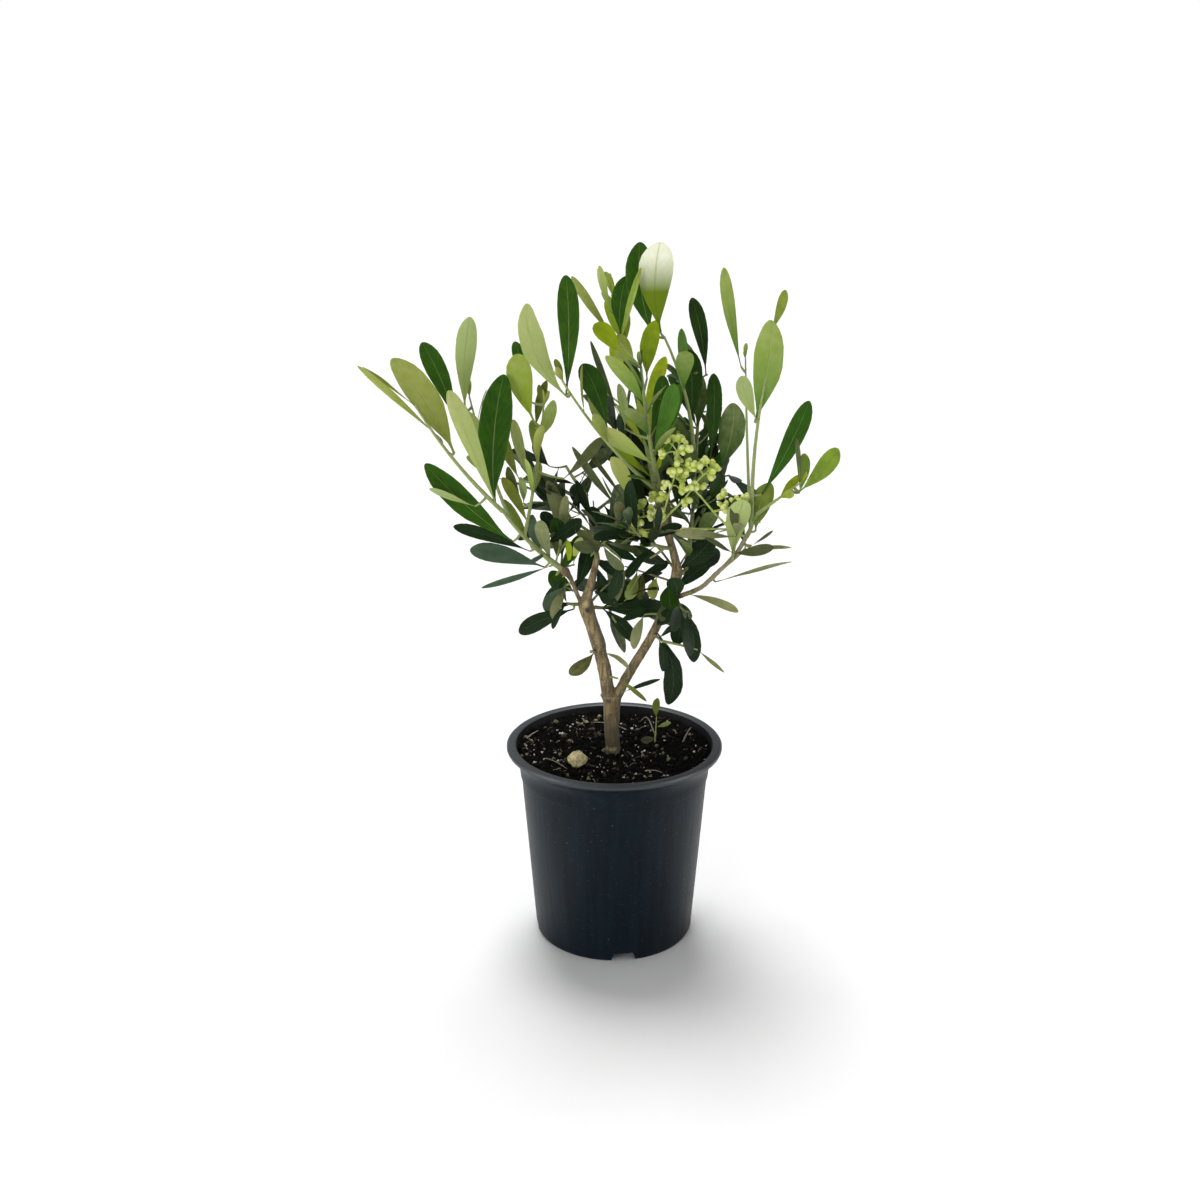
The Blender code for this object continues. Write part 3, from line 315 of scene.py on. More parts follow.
def done(obj, slot, *nodes):
    """Ties a finished piece to the frame."""
    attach(obj, "root")
    if nodes:
        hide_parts(*nodes)
    obj.data.calc_loop_triangles()
    low = [round(min(v.co[k] for v in obj.data.vertices) / MM) for k in range(3)]
    high = [round(max(v.co[k] for v in obj.data.vertices) / MM) for k in range(3)]
    print(obj.name, len(obj.data.loop_triangles), "triangles, from", low, "to", high, "mm")


# %% [markdown]
# ## The container
#
# A nursery container is thin polypropylene, injection moulded: a rolled lip, a collar that
# flares up to it, a fine step where it nests in the next one, and a foot with drain notches. It
# is a turned shape, so its outline is drawn once and turned in code. A Boolean cuts the notches,
# and a small Bevel gives each edge the round that catches the light.

# %% Container shape
RIM_RADIUS, RIM_INNER_RADIUS, RIM_DEPTH, POT_HEIGHT = 70.4, 64.8, 3.1, 132.7
STEP_HEIGHT, STEP_DEPTH, BODY_TOP_RADIUS = 111.0, 0.7, 60.9
FOOT_RADIUS, BASE_RADIUS, FOOT_FILLET = 52.2, 51.7, 2.2
FLARE_HEIGHT, FLARE_RINGS = 112.0, 12
WALL, BASE_THICKNESS, FLOOR_RISE = 1.6, 2.5, 9.0
CHANNEL_INNER_RADIUS, CHANNEL_OUTER_RADIUS, CHANNEL_DEPTH = 38.0, 48.3, 6.0
NOTCH_COUNT, NOTCH_WIDTH, NOTCH_TOP_WIDTH, NOTCH_HEIGHT, NOTCH_TURN = 4, 17.0, 12.5, 5.9, -83.0
NOTCH_INWARD, NOTCH_OUTWARD = 1.5, 4.0
POT_TURNS = 144
EDGE_ROUND, SHARPEST_PLAIN_EDGE = 0.35, 32
LIP = POT_HEIGHT - RIM_DEPTH


def wall_radius(height):
    """Outer radius of the straight wall, carried on above the step."""
    share = (height - FOOT_FILLET) / (STEP_HEIGHT - FOOT_FILLET)
    return FOOT_RADIUS + share * (BODY_TOP_RADIUS - FOOT_RADIUS)


def collar_radius(height):
    """Outer radius above the step, flaring towards the rolled rim."""
    share = max(height - FLARE_HEIGHT, 0.0) / (LIP - FLARE_HEIGHT)
    return wall_radius(height) + STEP_DEPTH + (RIM_RADIUS - 0.3 - wall_radius(LIP) - STEP_DEPTH) * share ** 3


def inside_radius(height):
    """Inner radius, which follows the wall and opens less sharply under the rim."""
    if height <= STEP_HEIGHT:
        return wall_radius(height) - WALL
    share = max(height - FLARE_HEIGHT, 0.0) / (POT_HEIGHT - FLARE_HEIGHT)
    top = wall_radius(POT_HEIGHT) + STEP_DEPTH - WALL
    return wall_radius(height) + STEP_DEPTH - WALL + (RIM_INNER_RADIUS - top) * share ** 1.5


flare = [FLARE_HEIGHT + (LIP - FLARE_HEIGHT) * (step / FLARE_RINGS) ** 0.7
         for step in range(1, FLARE_RINGS + 1)]
outline = [
    (CHANNEL_INNER_RADIUS, 0.0), (CHANNEL_INNER_RADIUS + 1.0, CHANNEL_DEPTH),
    (CHANNEL_OUTER_RADIUS, CHANNEL_DEPTH), (CHANNEL_OUTER_RADIUS + 0.7, 0.0),
    (BASE_RADIUS - 0.7, 0.0), (FOOT_RADIUS, FOOT_FILLET),
    (BODY_TOP_RADIUS, STEP_HEIGHT), (BODY_TOP_RADIUS + STEP_DEPTH, STEP_HEIGHT + 0.6),
    *((collar_radius(height), height) for height in flare),
    (RIM_RADIUS, LIP + 0.7), (RIM_RADIUS, POT_HEIGHT - 1.0), (RIM_RADIUS - 1.0, POT_HEIGHT),
    (RIM_INNER_RADIUS + 0.7, POT_HEIGHT), (RIM_INNER_RADIUS - 0.4, POT_HEIGHT - 0.5),
    *((inside_radius(height), height) for height in (130.0, 125.0, 121.0, 118.0, STEP_HEIGHT)),
    (inside_radius(FOOT_FILLET + FLOOR_RISE), FOOT_FILLET + FLOOR_RISE),
    (CHANNEL_OUTER_RADIUS + 0.4, CHANNEL_DEPTH + BASE_THICKNESS),
    (CHANNEL_INNER_RADIUS - 0.8, CHANNEL_DEPTH + BASE_THICKNESS),
    (CHANNEL_INNER_RADIUS - 2.4, BASE_THICKNESS),
]


def turned(name, profile, turns, material=None):
    """A closed solid whose outline of (radius, height) starts and ends in a flat disc."""
    points = [(r * math.cos(math.tau * k / turns), r * math.sin(math.tau * k / turns), z)
              for r, z in profile for k in range(turns)]
    top = (len(profile) - 1) * turns
    ends = [tuple(reversed(range(turns))), tuple(range(top, top + turns))]
    return plain(name, points, tube_faces(len(profile), turns) + ends, material)


container = turned("moulded_container", outline, POT_TURNS)
BOX_FACES = [(3, 2, 1, 0), (4, 5, 6, 7), (0, 1, 5, 4), (1, 2, 6, 5), (2, 3, 7, 6), (3, 0, 4, 7)]
notch_outline = ((-NOTCH_WIDTH, -1.0), (NOTCH_WIDTH, -1.0), (NOTCH_TOP_WIDTH, NOTCH_HEIGHT),
                 (-NOTCH_TOP_WIDTH, NOTCH_HEIGHT))
corners = [Vector((radius, width / 2, height))
           for radius in (CHANNEL_OUTER_RADIUS - NOTCH_INWARD, BASE_RADIUS + NOTCH_OUTWARD)
           for width, height in notch_outline]
for index in range(NOTCH_COUNT):
    spin = Matrix.Rotation(math.radians(NOTCH_TURN + 360 * index / NOTCH_COUNT), 3, "Z")
    cutter = plain("notch", [spin @ corner for corner in corners], BOX_FACES, smooth=False)
    cut = container.modifiers.new("notch", "BOOLEAN")
    cut.operation, cut.solver, cut.object = "DIFFERENCE", "EXACT", cutter
    fixed(container)
    bpy.data.objects.remove(cutter)
round_edges = container.modifiers.new("edges", "BEVEL")
round_edges.width, round_edges.segments, round_edges.limit_method = EDGE_ROUND * MM, 2, "ANGLE"
round_edges.angle_limit = math.radians(SHARPEST_PLAIN_EDGE)
fixed(container)
container.data.shade_smooth()
print("container:", len(container.data.polygons), "faces")

# %% [markdown]
# Black polypropylene with a little blue in it leaves the mould with a fine satin grain. The
# flow of the melt leaves faint upright bands, handling adds short scuffs, and potting leaves
# pale dust. These are drawn as roughness and slight changes of colour, because the eye reads
# them in the highlights. The top of the lip is painted a lighter grey, a painted highlight where
# it catches the light, and is made glossier there. Inside, the wall above the soil is painted
# near black as shade.

# %% Container finish
moulded, tree, shader = surface("moulded_polypropylene", IOR=1.49)
bands = grain(tree, 5.0, (1.0, 1.0, 0.03), 2.0)
fine = grain(tree, 0.5, detail=2.0)
dust = grain(tree, 2.2, detail=6.0, low=0.68, high=0.8)
scuffs = grain(tree, 3.0, (1.0, 1.0, 5.0), 6.0, 0.64, 0.74)
place = add(tree, "ShaderNodeTexCoord").outputs["Object"]
height = add(tree, "ShaderNodeSeparateXYZ", {}, Vector=place).outputs["Z"]
# The lip's lighter grey is a painted highlight on the rim top; the same band raises its gloss.
LIP_HIGHLIGHT_RANGE = {"From Min": (LIP - 0.4) * MM, "From Max": (LIP + 1.0) * MM, "To Max": 0.85}
lip_highlight_band = add(tree, "ShaderNodeMapRange", LIP_HIGHLIGHT_RANGE, Value=height).outputs[0]
flow = mix(tree, bands, "#08131b", "#0d1b24")
lip_highlighted = mix(tree, lip_highlight_band, flow, "#2a3236")
worn = mix(tree, weighted(tree, scuffs, 0.25), lip_highlighted, "#55626c")
dusty = mix(tree, weighted(tree, dust, 0.3), worn, "#8a8f8c")
tree.links.new(dusty, shader.inputs["Base Color"])
rough = add(tree, "ShaderNodeMapRange", {"To Min": 0.38, "To Max": 0.5}, Value=fine).outputs[0]
tree.links.new(rough, shader.inputs["Roughness"])
gloss = add(tree, "ShaderNodeMapRange", {"To Min": 0.12, "To Max": 0.6}, Value=lip_highlight_band).outputs[0]
tree.links.new(gloss, shader.inputs["Specular IOR Level"])
bump(tree, shader, bands, 0.05, bump(tree, shader, fine, 0.012))

# Painted shade: the inner wall above the soil is near black, as the shade inside the container.
inner_shade, tree, shader = surface("soiled_polypropylene", IOR=1.49, Specular_IOR_Level=0.2, Roughness=0.7)
tree.links.new(mix(tree, grain(tree, 1.8, detail=6.0), "#030506", "#0e100f"), shader.inputs["Base Color"])
bump(tree, shader, grain(tree, 0.9, detail=5.0), 0.1)
PAINTED_SHADE_FROM, PAINTED_SHADE_DEPTH = 15.0, 0.6
container.data.materials.clear()
for material in (moulded, inner_shade):
    container.data.materials.append(material)
# Faces of the inner wall above the floor of the container get the painted shade finish.
for face in container.data.polygons:
    wide, high = face.center.xy.length / MM, face.center.z / MM
    on_inside = wide < RIM_INNER_RADIUS - 0.2 and wide < inside_radius(high) + PAINTED_SHADE_DEPTH
    face.material_index = int(on_inside and high > PAINTED_SHADE_FROM)
done(container, "pot", "pot")

# %% [markdown]
# ## Relief by Geometry Nodes
#
# Soil and bark are both a smooth form with lumps and grain on it, so one tree makes both. It
# moves each point along its normal by two noises: wide lumps, and a fine grain that can be drawn
# out along Z, as bark is. The heights are named inputs, in millimetres.

# %% Relief tree
relief, given, out = nodes_tree("relief", Lump_Size=6.0, Lump_Height=0.6, Grain_Size=1.4, Grain_Height=0.3,
                                Along=1.0, Material="Material")


def noise_height(size, height, squeeze):
    """Noise from minus half to plus half of a height, for blotches of a size, in metres."""
    scale = add(relief, "ShaderNodeMath", {"operation": "DIVIDE", 0: 1000.0}, s1=size).outputs[0]
    place = add(relief, "GeometryNodeInputPosition").outputs[0]
    drawn = add(relief, "ShaderNodeVectorMath", {"operation": "MULTIPLY"}, s0=place, s1=squeeze).outputs[0]
    found = add(relief, "ShaderNodeTexNoise", {"Detail": 4.0}, Vector=drawn, Scale=scale).outputs[0]
    middle = add(relief, "ShaderNodeMath", {"operation": "SUBTRACT", 1: 0.5}, s0=found).outputs[0]
    metres = add(relief, "ShaderNodeMath", {"operation": "MULTIPLY", 1: MM}, s0=height).outputs[0]
    return add(relief, "ShaderNodeMath", {"operation": "MULTIPLY"}, s0=middle, s1=metres).outputs[0]


along = add(relief, "ShaderNodeCombineXYZ", {"X": 1.0, "Y": 1.0}, Z=given["Along"]).outputs[0]
lumps = noise_height(given["Lump Size"], given["Lump Height"], along)
fibres = noise_height(given["Grain Size"], given["Grain Height"], along)
lift = add(relief, "ShaderNodeMath", {"operation": "ADD"}, s0=lumps, s1=fibres).outputs[0]
normal = add(relief, "GeometryNodeInputNormal").outputs[0]
offset = add(relief, "ShaderNodeVectorMath", {"operation": "SCALE"}, s0=normal, Scale=lift).outputs[0]
moved = add(relief, "GeometryNodeSetPosition", {}, Geometry=given["Geometry"], Offset=offset).outputs[0]
dressed = add(relief, "GeometryNodeSetMaterial", {}, Geometry=moved, Material=given["Material"]).outputs[0]
relief.links.new(dressed, out.inputs[0])

# %% [markdown]
# ## Soil
#
# Potting mix is peat and composted bark: nearly black when moist, crumbly, with white perlite,
# brown chips and pale rootlets. A bed with relief carries thousands of separate crumbs, because
# a bump map alone looks flat at the edge of the container. Each kind of crumb is a few lumps of
# under fifty faces that a scatter tree places, turns and sizes at random from a fixed seed.

# %% Soil bed
SOIL_HEIGHT = 125.0
SOIL_BANKS = ((9.5, 0.0), (22.0, 2.2), (55.0, 3.6))
BED_RINGS, BED_TURNS = 44, 120
BED_TO_WALL, BED_SUNK = 0.9, 0.6


def soil_level(radius):
    """Height of the soil, which is banked up from the trunk towards the wall."""
    low_radius, low_rise = SOIL_BANKS[0]
    for high_radius, high_rise in SOIL_BANKS[1:]:
        if radius < high_radius:
            share = max(radius - low_radius, 0.0) / (high_radius - low_radius)
            return SOIL_HEIGHT + low_rise + share * (high_rise - low_rise)
        low_radius, low_rise = high_radius, high_rise
    return SOIL_HEIGHT + low_rise


EDGE_LEVEL = soil_level(RIM_INNER_RADIUS)
BED_RADIUS = inside_radius(EDGE_LEVEL) - BED_TO_WALL
peat, tree, shader = surface("moist_peat", IOR=1.4, Roughness=0.95, Specular_IOR_Level=0.12)
tone = mix(tree, grain(tree, 1.6, detail=5.0), "#030302", "#0f0e0a")
tree.links.new(tone, shader.inputs["Base Color"])
bump(tree, shader, grain(tree, 0.8, detail=6.0), 0.5)
profile = [(inside_radius(height) - BED_TO_WALL, height)
           for height in (STEP_HEIGHT - 20.0, STEP_HEIGHT, 118.0, 123.0)]
profile.append((BED_RADIUS, EDGE_LEVEL - BED_SUNK - 1.0))
for ring in range(1, BED_RINGS):
    radius = BED_RADIUS * (1 - ring / BED_RINGS)
    profile.append((radius, soil_level(radius) - BED_SUNK))
bed = turned("soil_bed", profile, BED_TURNS)
grown(bed, relief, lump_size=14.0, lump_height=3.0, grain_size=3.2, grain_height=2.0, material=peat)
done(bed, "potting_soil", "soil")

# %% Scatter tree
scatter, given, out = nodes_tree("scatter", Pieces="Collection", Number=1000, Smallest=0.5, Largest=1.5,
                                 Seed=1)


def copies(tree, points, pieces, **links):
    """Copies of a collection's pieces on points; links say how each one is chosen, turned and sized."""
    held = add(tree, "GeometryNodeCollectionInfo", {"Separate Children": True, "Reset Children": True},
               Collection=pieces)
    return add(tree, "GeometryNodeInstanceOnPoints", {"Pick Instance": True}, Points=points,
               Instance=held.outputs[0], **links).outputs[0]


spots = add(scatter, "GeometryNodeDistributePointsOnFaces", {"distribute_method": "RANDOM"},
            Mesh=given["Geometry"], Density=given["Number"], Seed=given["Seed"])
turn = add(scatter, "FunctionNodeRandomValue", {"data_type": "FLOAT_VECTOR", 1: (math.tau,) * 3},
           Seed=given["Seed"])
size = add(scatter, "FunctionNodeRandomValue", {"data_type": "FLOAT"}, s2=given["Smallest"],
           s3=given["Largest"], Seed=given["Seed"])
chosen = add(scatter, "FunctionNodeRandomValue", {"data_type": "INT", 4: 0, 5: 40}, Seed=given["Seed"])
metres = weighted(scatter, size.outputs[1], MM)
placed = copies(scatter, spots.outputs[0], given["Pieces"], Instance_Index=chosen.outputs[2],
                Rotation=turn.outputs[0], Scale=metres)
shade = add(scatter, "FunctionNodeRandomValue", {"data_type": "FLOAT"}, Seed=given["Seed"])
named = add(scatter, "GeometryNodeStoreNamedAttribute",
            {"data_type": "FLOAT", "domain": "INSTANCE", "Name": "shade"},
            Geometry=placed, Value=shade.outputs[1])
real = add(scatter, "GeometryNodeRealizeInstances", {}, Geometry=named.outputs[0])
scatter.links.new(real.outputs[0], out.inputs[0])


def lumps_of(name, count, level, flat, rough, seed, material):
    """A collection of lumps one millimetre across in the scatter's terms, out of the scene."""
    dice = random.Random(seed)
    group = bpy.data.collections.new(name)
    for index in range(count):
        work = bmesh.new()
        bmesh.ops.create_icosphere(work, subdivisions=level, radius=0.5)
        squash = (dice.uniform(0.75, 1.0), dice.uniform(0.6, 1.0) * flat[0], dice.uniform(0.5, 0.9) * flat[1])
        for vert in work.verts:
            push = 1 + dice.uniform(-rough, rough)
            vert.co = Vector([axis * push * wide for axis, wide in zip(vert.co, squash)])
        mesh = bpy.data.meshes.new(f"{name}_{index:02d}")
        work.to_mesh(mesh)
        work.free()
        mesh.materials.append(material)
        group.objects.link(bpy.data.objects.new(mesh.name, mesh))
    return group


def put_away(group):
    """Removes a collection of pieces that have been copied for good."""
    for obj in list(group.objects):
        bpy.data.objects.remove(obj)
    bpy.data.collections.remove(group)


def strewn(name, slot, group, number, smallest, largest, seed, bed):
    """Scatters a collection on a copy of the bed and keeps the result as one piece."""
    source = shown(name, bed.data.copy())
    area = math.pi * (BED_RADIUS * MM) ** 2
    grown(source, scatter, pieces=group, number=int(number / area), smallest=smallest, largest=largest,
          seed=seed)
    put_away(group)
    done(source, slot)


# %% [markdown]
# The crumbs need ground to lie on: only the bed's upper face, without its skirt, and clear of
# the wall. Each finish is one material whose colour follows the `shade` number that the
# scatter stored for every crumb, so no two neighbours match.

# %% Crumbs, perlite and chips
CLEAR_OF_WALL = 1.5
top = bmesh.new()
top.from_mesh(bed.data)
edge = (BED_RADIUS - CLEAR_OF_WALL) * MM
low_faces = [f for f in top.faces if f.calc_center_median().z < (SOIL_HEIGHT - 3.0) * MM
             or f.calc_center_median().xy.length > edge or abs(f.normal.z) < 0.3]
bmesh.ops.delete(top, geom=low_faces, context="FACES")
ground_mesh = bpy.data.meshes.new("ground")
top.to_mesh(ground_mesh)
top.free()
ground = bpy.data.objects.new("ground", ground_mesh)


def shaded(name, dark, pale, rough, size, depth, **values):
    """A finish that runs from a dark to a pale colour by the shade number of each crumb."""
    material, tree, shader = surface(name, Roughness=rough, **values)
    number = add(tree, "ShaderNodeAttribute", {"attribute_name": "shade"}).outputs["Fac"]
    ramp = mix(tree, number, dark, pale)
    spots = grain(tree, size, detail=4.0)
    tree.links.new(mix(tree, spots, ramp, dark), shader.inputs["Base Color"])
    bump(tree, shader, grain(tree, size * 0.5, detail=5.0), depth)
    return material


crumb_finish = shaded("composted_peat", "#030302", "#17150f", 0.95, 0.9, 0.25, IOR=1.4,
                      Specular_IOR_Level=0.12)
perlite_finish = shaded("expanded_perlite", "#c9c6ba", "#f6f4ee", 0.85, 0.7, 0.2, IOR=1.45)
chip_finish = shaded("composted_bark_chip", "#100c08", "#554732", 0.85, 0.8, 0.2, IOR=1.45)
clod_finish = shaded("limed_clod", "#5c5838", "#bdb588", 0.9, 1.0, 0.3, IOR=1.45)
# Each kind: name, slot, finish, how many lumps, their detail, flatness, roughness and seed,
#            number strewn, smallest, largest and seed
for name, slot, finish, kinds, level, flat, rough, shape_seed, number, smallest, largest, seed in (
    ("soil_crumbs", "potting_soil", crumb_finish, 8, 1, (1, 1), 0.28, 1, 4600, 0.9, 3.4, 2),
    ("soil_lumps", "potting_soil", crumb_finish, 6, 2, (1, 0.9), 0.2, 3, 300, 3.0, 7.0, 4),
    ("perlite_grains", "pale_stone", perlite_finish, 6, 1, (1, 1), 0.25, 5, 240, 0.6, 2.9, 6),
    ("bark_chips", "bark", chip_finish, 6, 2, (0.5, 0.35), 0.14, 7, 170, 2.6, 7.5, 8),
    ("limed_clods", "potting_soil", clod_finish, 5, 2, (1, 0.8), 0.22, 9, 84, 1.6, 5.2, 11),
):
    group = lumps_of(f"{name}_shapes", kinds, level, flat, rough, shape_seed, finish)
    strewn(name, slot, group, number, smallest, largest, seed, ground)

# %% [markdown]
# ## Stems by Geometry Nodes
#
# Twigs, stalks, rootlets and fibres are all round, tapering and long. Each is stored as a chain
# of vertices with its thickness as an attribute, and one tree turns every chain into a curve and
# sweeps a circle along it. Converting curves one by one would give the same tubes but hundreds of
# objects.

# %% Stem tree
stems, given, out = nodes_tree("stems", Sides=7, Material="Material")
lines = add(stems, "GeometryNodeMeshToCurve", {}, Mesh=given["Geometry"])
ring = add(stems, "GeometryNodeCurvePrimitiveCircle", {"Radius": 1.0}, Resolution=given["Sides"])
thick = add(stems, "GeometryNodeInputNamedAttribute", {"data_type": "FLOAT", "Name": "thick"})
swept = add(stems, "GeometryNodeCurveToMesh", {"Fill Caps": True}, Curve=lines.outputs[0],
            Profile_Curve=ring.outputs[0], Scale=thick.outputs[0])
smooth = add(stems, "GeometryNodeSetShadeSmooth", {}, Geometry=swept.outputs[0])
real = add(stems, "GeometryNodeRealizeInstances", {}, Geometry=smooth.outputs[0])
finish = add(stems, "GeometryNodeSetMaterial", {}, Geometry=real.outputs[0], Material=given["Material"])
stems.links.new(finish.outputs[0], out.inputs[0])


def chains(name, lines, sides, material):
    """One piece from lines of (point, radius, shade), all in millimetres."""
    points, edges, thick, shades = [], [], [], []
    for line in lines:
        edges += [(len(points) + k, len(points) + k + 1) for k in range(len(line) - 1)]
        for point, radius, shade in line:
            points.append(Vector(point) * MM)
            thick.append(radius * MM)
            shades.append(shade)
    mesh = bpy.data.meshes.new(name)
    mesh.from_pydata(points, edges, [])
    store(mesh, "FLOAT", thick=thick, shade=shades)
    return grown(shown(name, mesh), stems, sides=sides, material=material)


# %% Rootlets and fibres on the soil
ABOVE_SOIL = 1.0
FIBRES, FIBRE_STEPS, FIBRE_SHORTEST, FIBRE_SEED = 30, 6, 3, 12
# Listed rootlets: far end, near end, radius, shade and arch
ROOTLETS = (
    ((19.5, -38.6), (30.2, -41.5), 0.4, 1.0, 1.0), ((45.4, 7.8), (51.7, 31.4), 0.7, 0.35, 1.0),
    ((26.6, 24.5), (18.1, 43.3), 0.5, 0.8, 6.5), ((-58.0, 12.0), (-51.0, 25.0), 0.5, 0.9, 0.6),
    ((-44.0, -20.0), (-30.0, -36.0), 0.45, 0.5, 1.0), ((8.0, 30.0), (-16.0, 41.0), 0.4, 0.7, 2.0),
)
ROOTLET_STEPS = 8
fibre_finish = shaded("dry_rootlet", "#3c3324", "#dcd4ba", 0.8, 0.6, 0.05, IOR=1.45)
dice = random.Random(FIBRE_SEED)
fibres = []


def lying(x, y, arch=0.0):
    """A point on top of the soil, or a little above it."""
    return Vector((x, y, soil_level(math.hypot(x, y)) + ABOVE_SOIL + arch))


for index in range(FIBRES):
    away, spread = math.radians(dice.uniform(0, 360)), BED_RADIUS * math.sqrt(dice.uniform(0.04, 0.82))
    way, long, thick = math.radians(dice.uniform(0, 360)), dice.uniform(3, 10), dice.uniform(0.16, 0.34)
    bowed, pale = dice.uniform(-0.4, 0.4), dice.uniform(0, 1) ** 2
    line = []
    for k in range(FIBRE_STEPS + 1):
        turn, run = way + bowed * k / 1.5, long * k / FIBRE_STEPS
        x = spread * math.cos(away) + run * math.cos(turn)
        y = spread * math.sin(away) + run * math.sin(turn)
        if math.hypot(x, y) < BED_RADIUS - CLEAR_OF_WALL:
            line.append((lying(x, y, 0.6 * math.sin(k)), thick * (1 - 0.1 * k), pale))
    if len(line) > FIBRE_SHORTEST:
        fibres.append(line)
for far, near, radius, pale, arch in ROOTLETS:
    line = []
    for k in range(ROOTLET_STEPS + 1):
        share = k / ROOTLET_STEPS
        x, y = Vector(far).lerp(Vector(near), share)
        line.append((lying(x, y, arch * math.sin(math.pi * share)), radius * (1 - 0.06 * k), pale))
    fibres.append(line)
done(chains("soil_rootlets", fibres, 5, fibre_finish), "bark")

# %% [markdown]
# ## The pale stone
#
# One stone as big as a hazelnut lies on the soil. A sphere pressed flat against a dozen chance
# planes has the flats and blunt edges of broken limestone; the frame gives the room that it takes.

# %% Pale stone
BREAKS, BREAK_DEPTH = 13, 0.9
STONE_SWELL, STONE_WAVE, WAVE_SCALE = 1.3, 0.25, 3.0
low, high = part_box("pale_stone")
middle, reach = (Vector(low) + Vector(high)) / 2, (Vector(high) - Vector(low)) / 2
chalk, tree, shader = surface("weathered_limestone", IOR=1.5, Roughness=0.88)
crust = mix(tree, grain(tree, 3.0, detail=6.0), "#cdb974", "#f3e6b4")
pitted = mix(tree, grain(tree, 1.1, detail=5.0, low=0.55, high=0.7), crust, "#6a5a30")
tree.links.new(pitted, shader.inputs["Base Color"])
bump(tree, shader, grain(tree, 1.4, detail=6.0), 0.6)
work = bmesh.new()
bmesh.ops.create_icosphere(work, subdivisions=4, radius=1.0)
breaks = [(Vector([dice.gauss(0, 1) for axis in range(3)]).normalized(), dice.uniform(0.8, 1.05))
          for k in range(BREAKS)]
for vert in work.verts:
    spot = vert.co * (STONE_SWELL + STONE_WAVE * noise.noise(vert.co * WAVE_SCALE))
    for way, far in breaks:
        spot -= way * max(spot.dot(way) - far, 0.0) * BREAK_DEPTH
    vert.co = middle + Vector([min(max(axis, -1.0), 1.0) * wide for axis, wide in zip(spot, reach)])
mesh = bpy.data.meshes.new("limestone_pebble")
work.to_mesh(mesh)
work.free()
mesh.materials.append(chalk)
mesh.shade_smooth()
done(shown(mesh.name, mesh), "pale_stone", "pale_stone")

# %% [markdown]
# ## Trunk and boughs
#
# The wood of a young olive is smooth, slightly knotted where twigs have been cut, and
# swollen at each fork. Tapering tubes that only touch would look like plumbing, so each limb
# starts inside the one that bears it, a voxel Remesh melts them into one skin, and a
# pass of Smooth fills the forks. The relief tree then adds bark: wide lumps, and a
# grain drawn out along the limb.

# %% Limb stations
GAP = 0.3
# Stations of each limb: x, y, z and radius, or its radii across and in depth
LIMBS = {
    "trunk": (
        (-0.8, 0.0, SOIL_HEIGHT + GAP, (5.2, 5.2)), (-0.9, 0.0, 128.5, (4.9, 4.9)),
        (-1.6, 0.0, 140.0, (4.9, 4.9)), (-1.7, 0.0, 153.0, (5.3, 5.2)), (-1.6, 0.0, 161.5, (6.0, 5.2)),
        (-1.9, 0.0, 166.5, (7.6, 4.8)),
    ),
    "left_bough": (
        (-4.0, 0.0, 166.8, 4.3), (-6.4, 0.0, 182.7, 4.3), (-9.0, 0.0, 194.0, 4.2), (-10.6, 0.0, 201.5, 4.8),
        (-14.4, 0.0, 213.4, 4.3), (-18.3, -0.2, 226.5, 5.0), (-17.6, 0.3, 232.5, 3.4),
        (-15.2, 1.6, 240.0, 2.6), (-13.2, 2.8, 248.5, 2.3), (-11.3, 4.0, 257.0, 2.2),
    ),
    "left_side_branch": (
        (-23.6, -1.2, 234.0, 1.4), (-26.6, -3.0, 242.5, 1.3), (-29.0, -4.8, 248.0, 1.8),
        (-31.2, -6.0, 251.2, 2.9), (-33.8, -7.2, 253.6, 2.3),
    ),
    "right_bough": (
        (2.6, 0.0, 166.8, 3.4), (7.0, 0.0, 176.0, 3.3), (12.6, 0.3, 186.2, 3.1), (22.0, 2.0, 201.9, 2.8),
        (30.4, 4.0, 219.0, 2.8), (36.2, 6.0, 231.8, 3.0), (39.2, 7.6, 243.0, 3.6), (39.8, 8.0, 250.0, 3.3),
    ),
    "centre_bough": (
        (39.4, 8.0, 250.8, 2.7), (36.6, 6.8, 262.0, 2.6), (32.6, 5.0, 276.0, 2.4), (29.6, 3.2, 294.0, 2.1),
    ),
    "right_side_branch": (
        (42.6, 3.8, 232.2, 1.6), (53.9, -4.0, 239.8, 1.5), (62.6, -12.0, 250.9, 1.5),
        (74.1, -20.0, 266.3, 1.45), (81.6, -25.6, 282.0, 1.35),
    ),
}
# How far each limb reaches back into the one that bears it
ROOTED = {"left_bough": 6.0, "right_bough": 6.0, "left_side_branch": 9.0, "right_side_branch": 7.0,
          "centre_bough": 4.0, "trunk": 2.5}
LIMB_SIDES = 20
VOXEL = 0.5


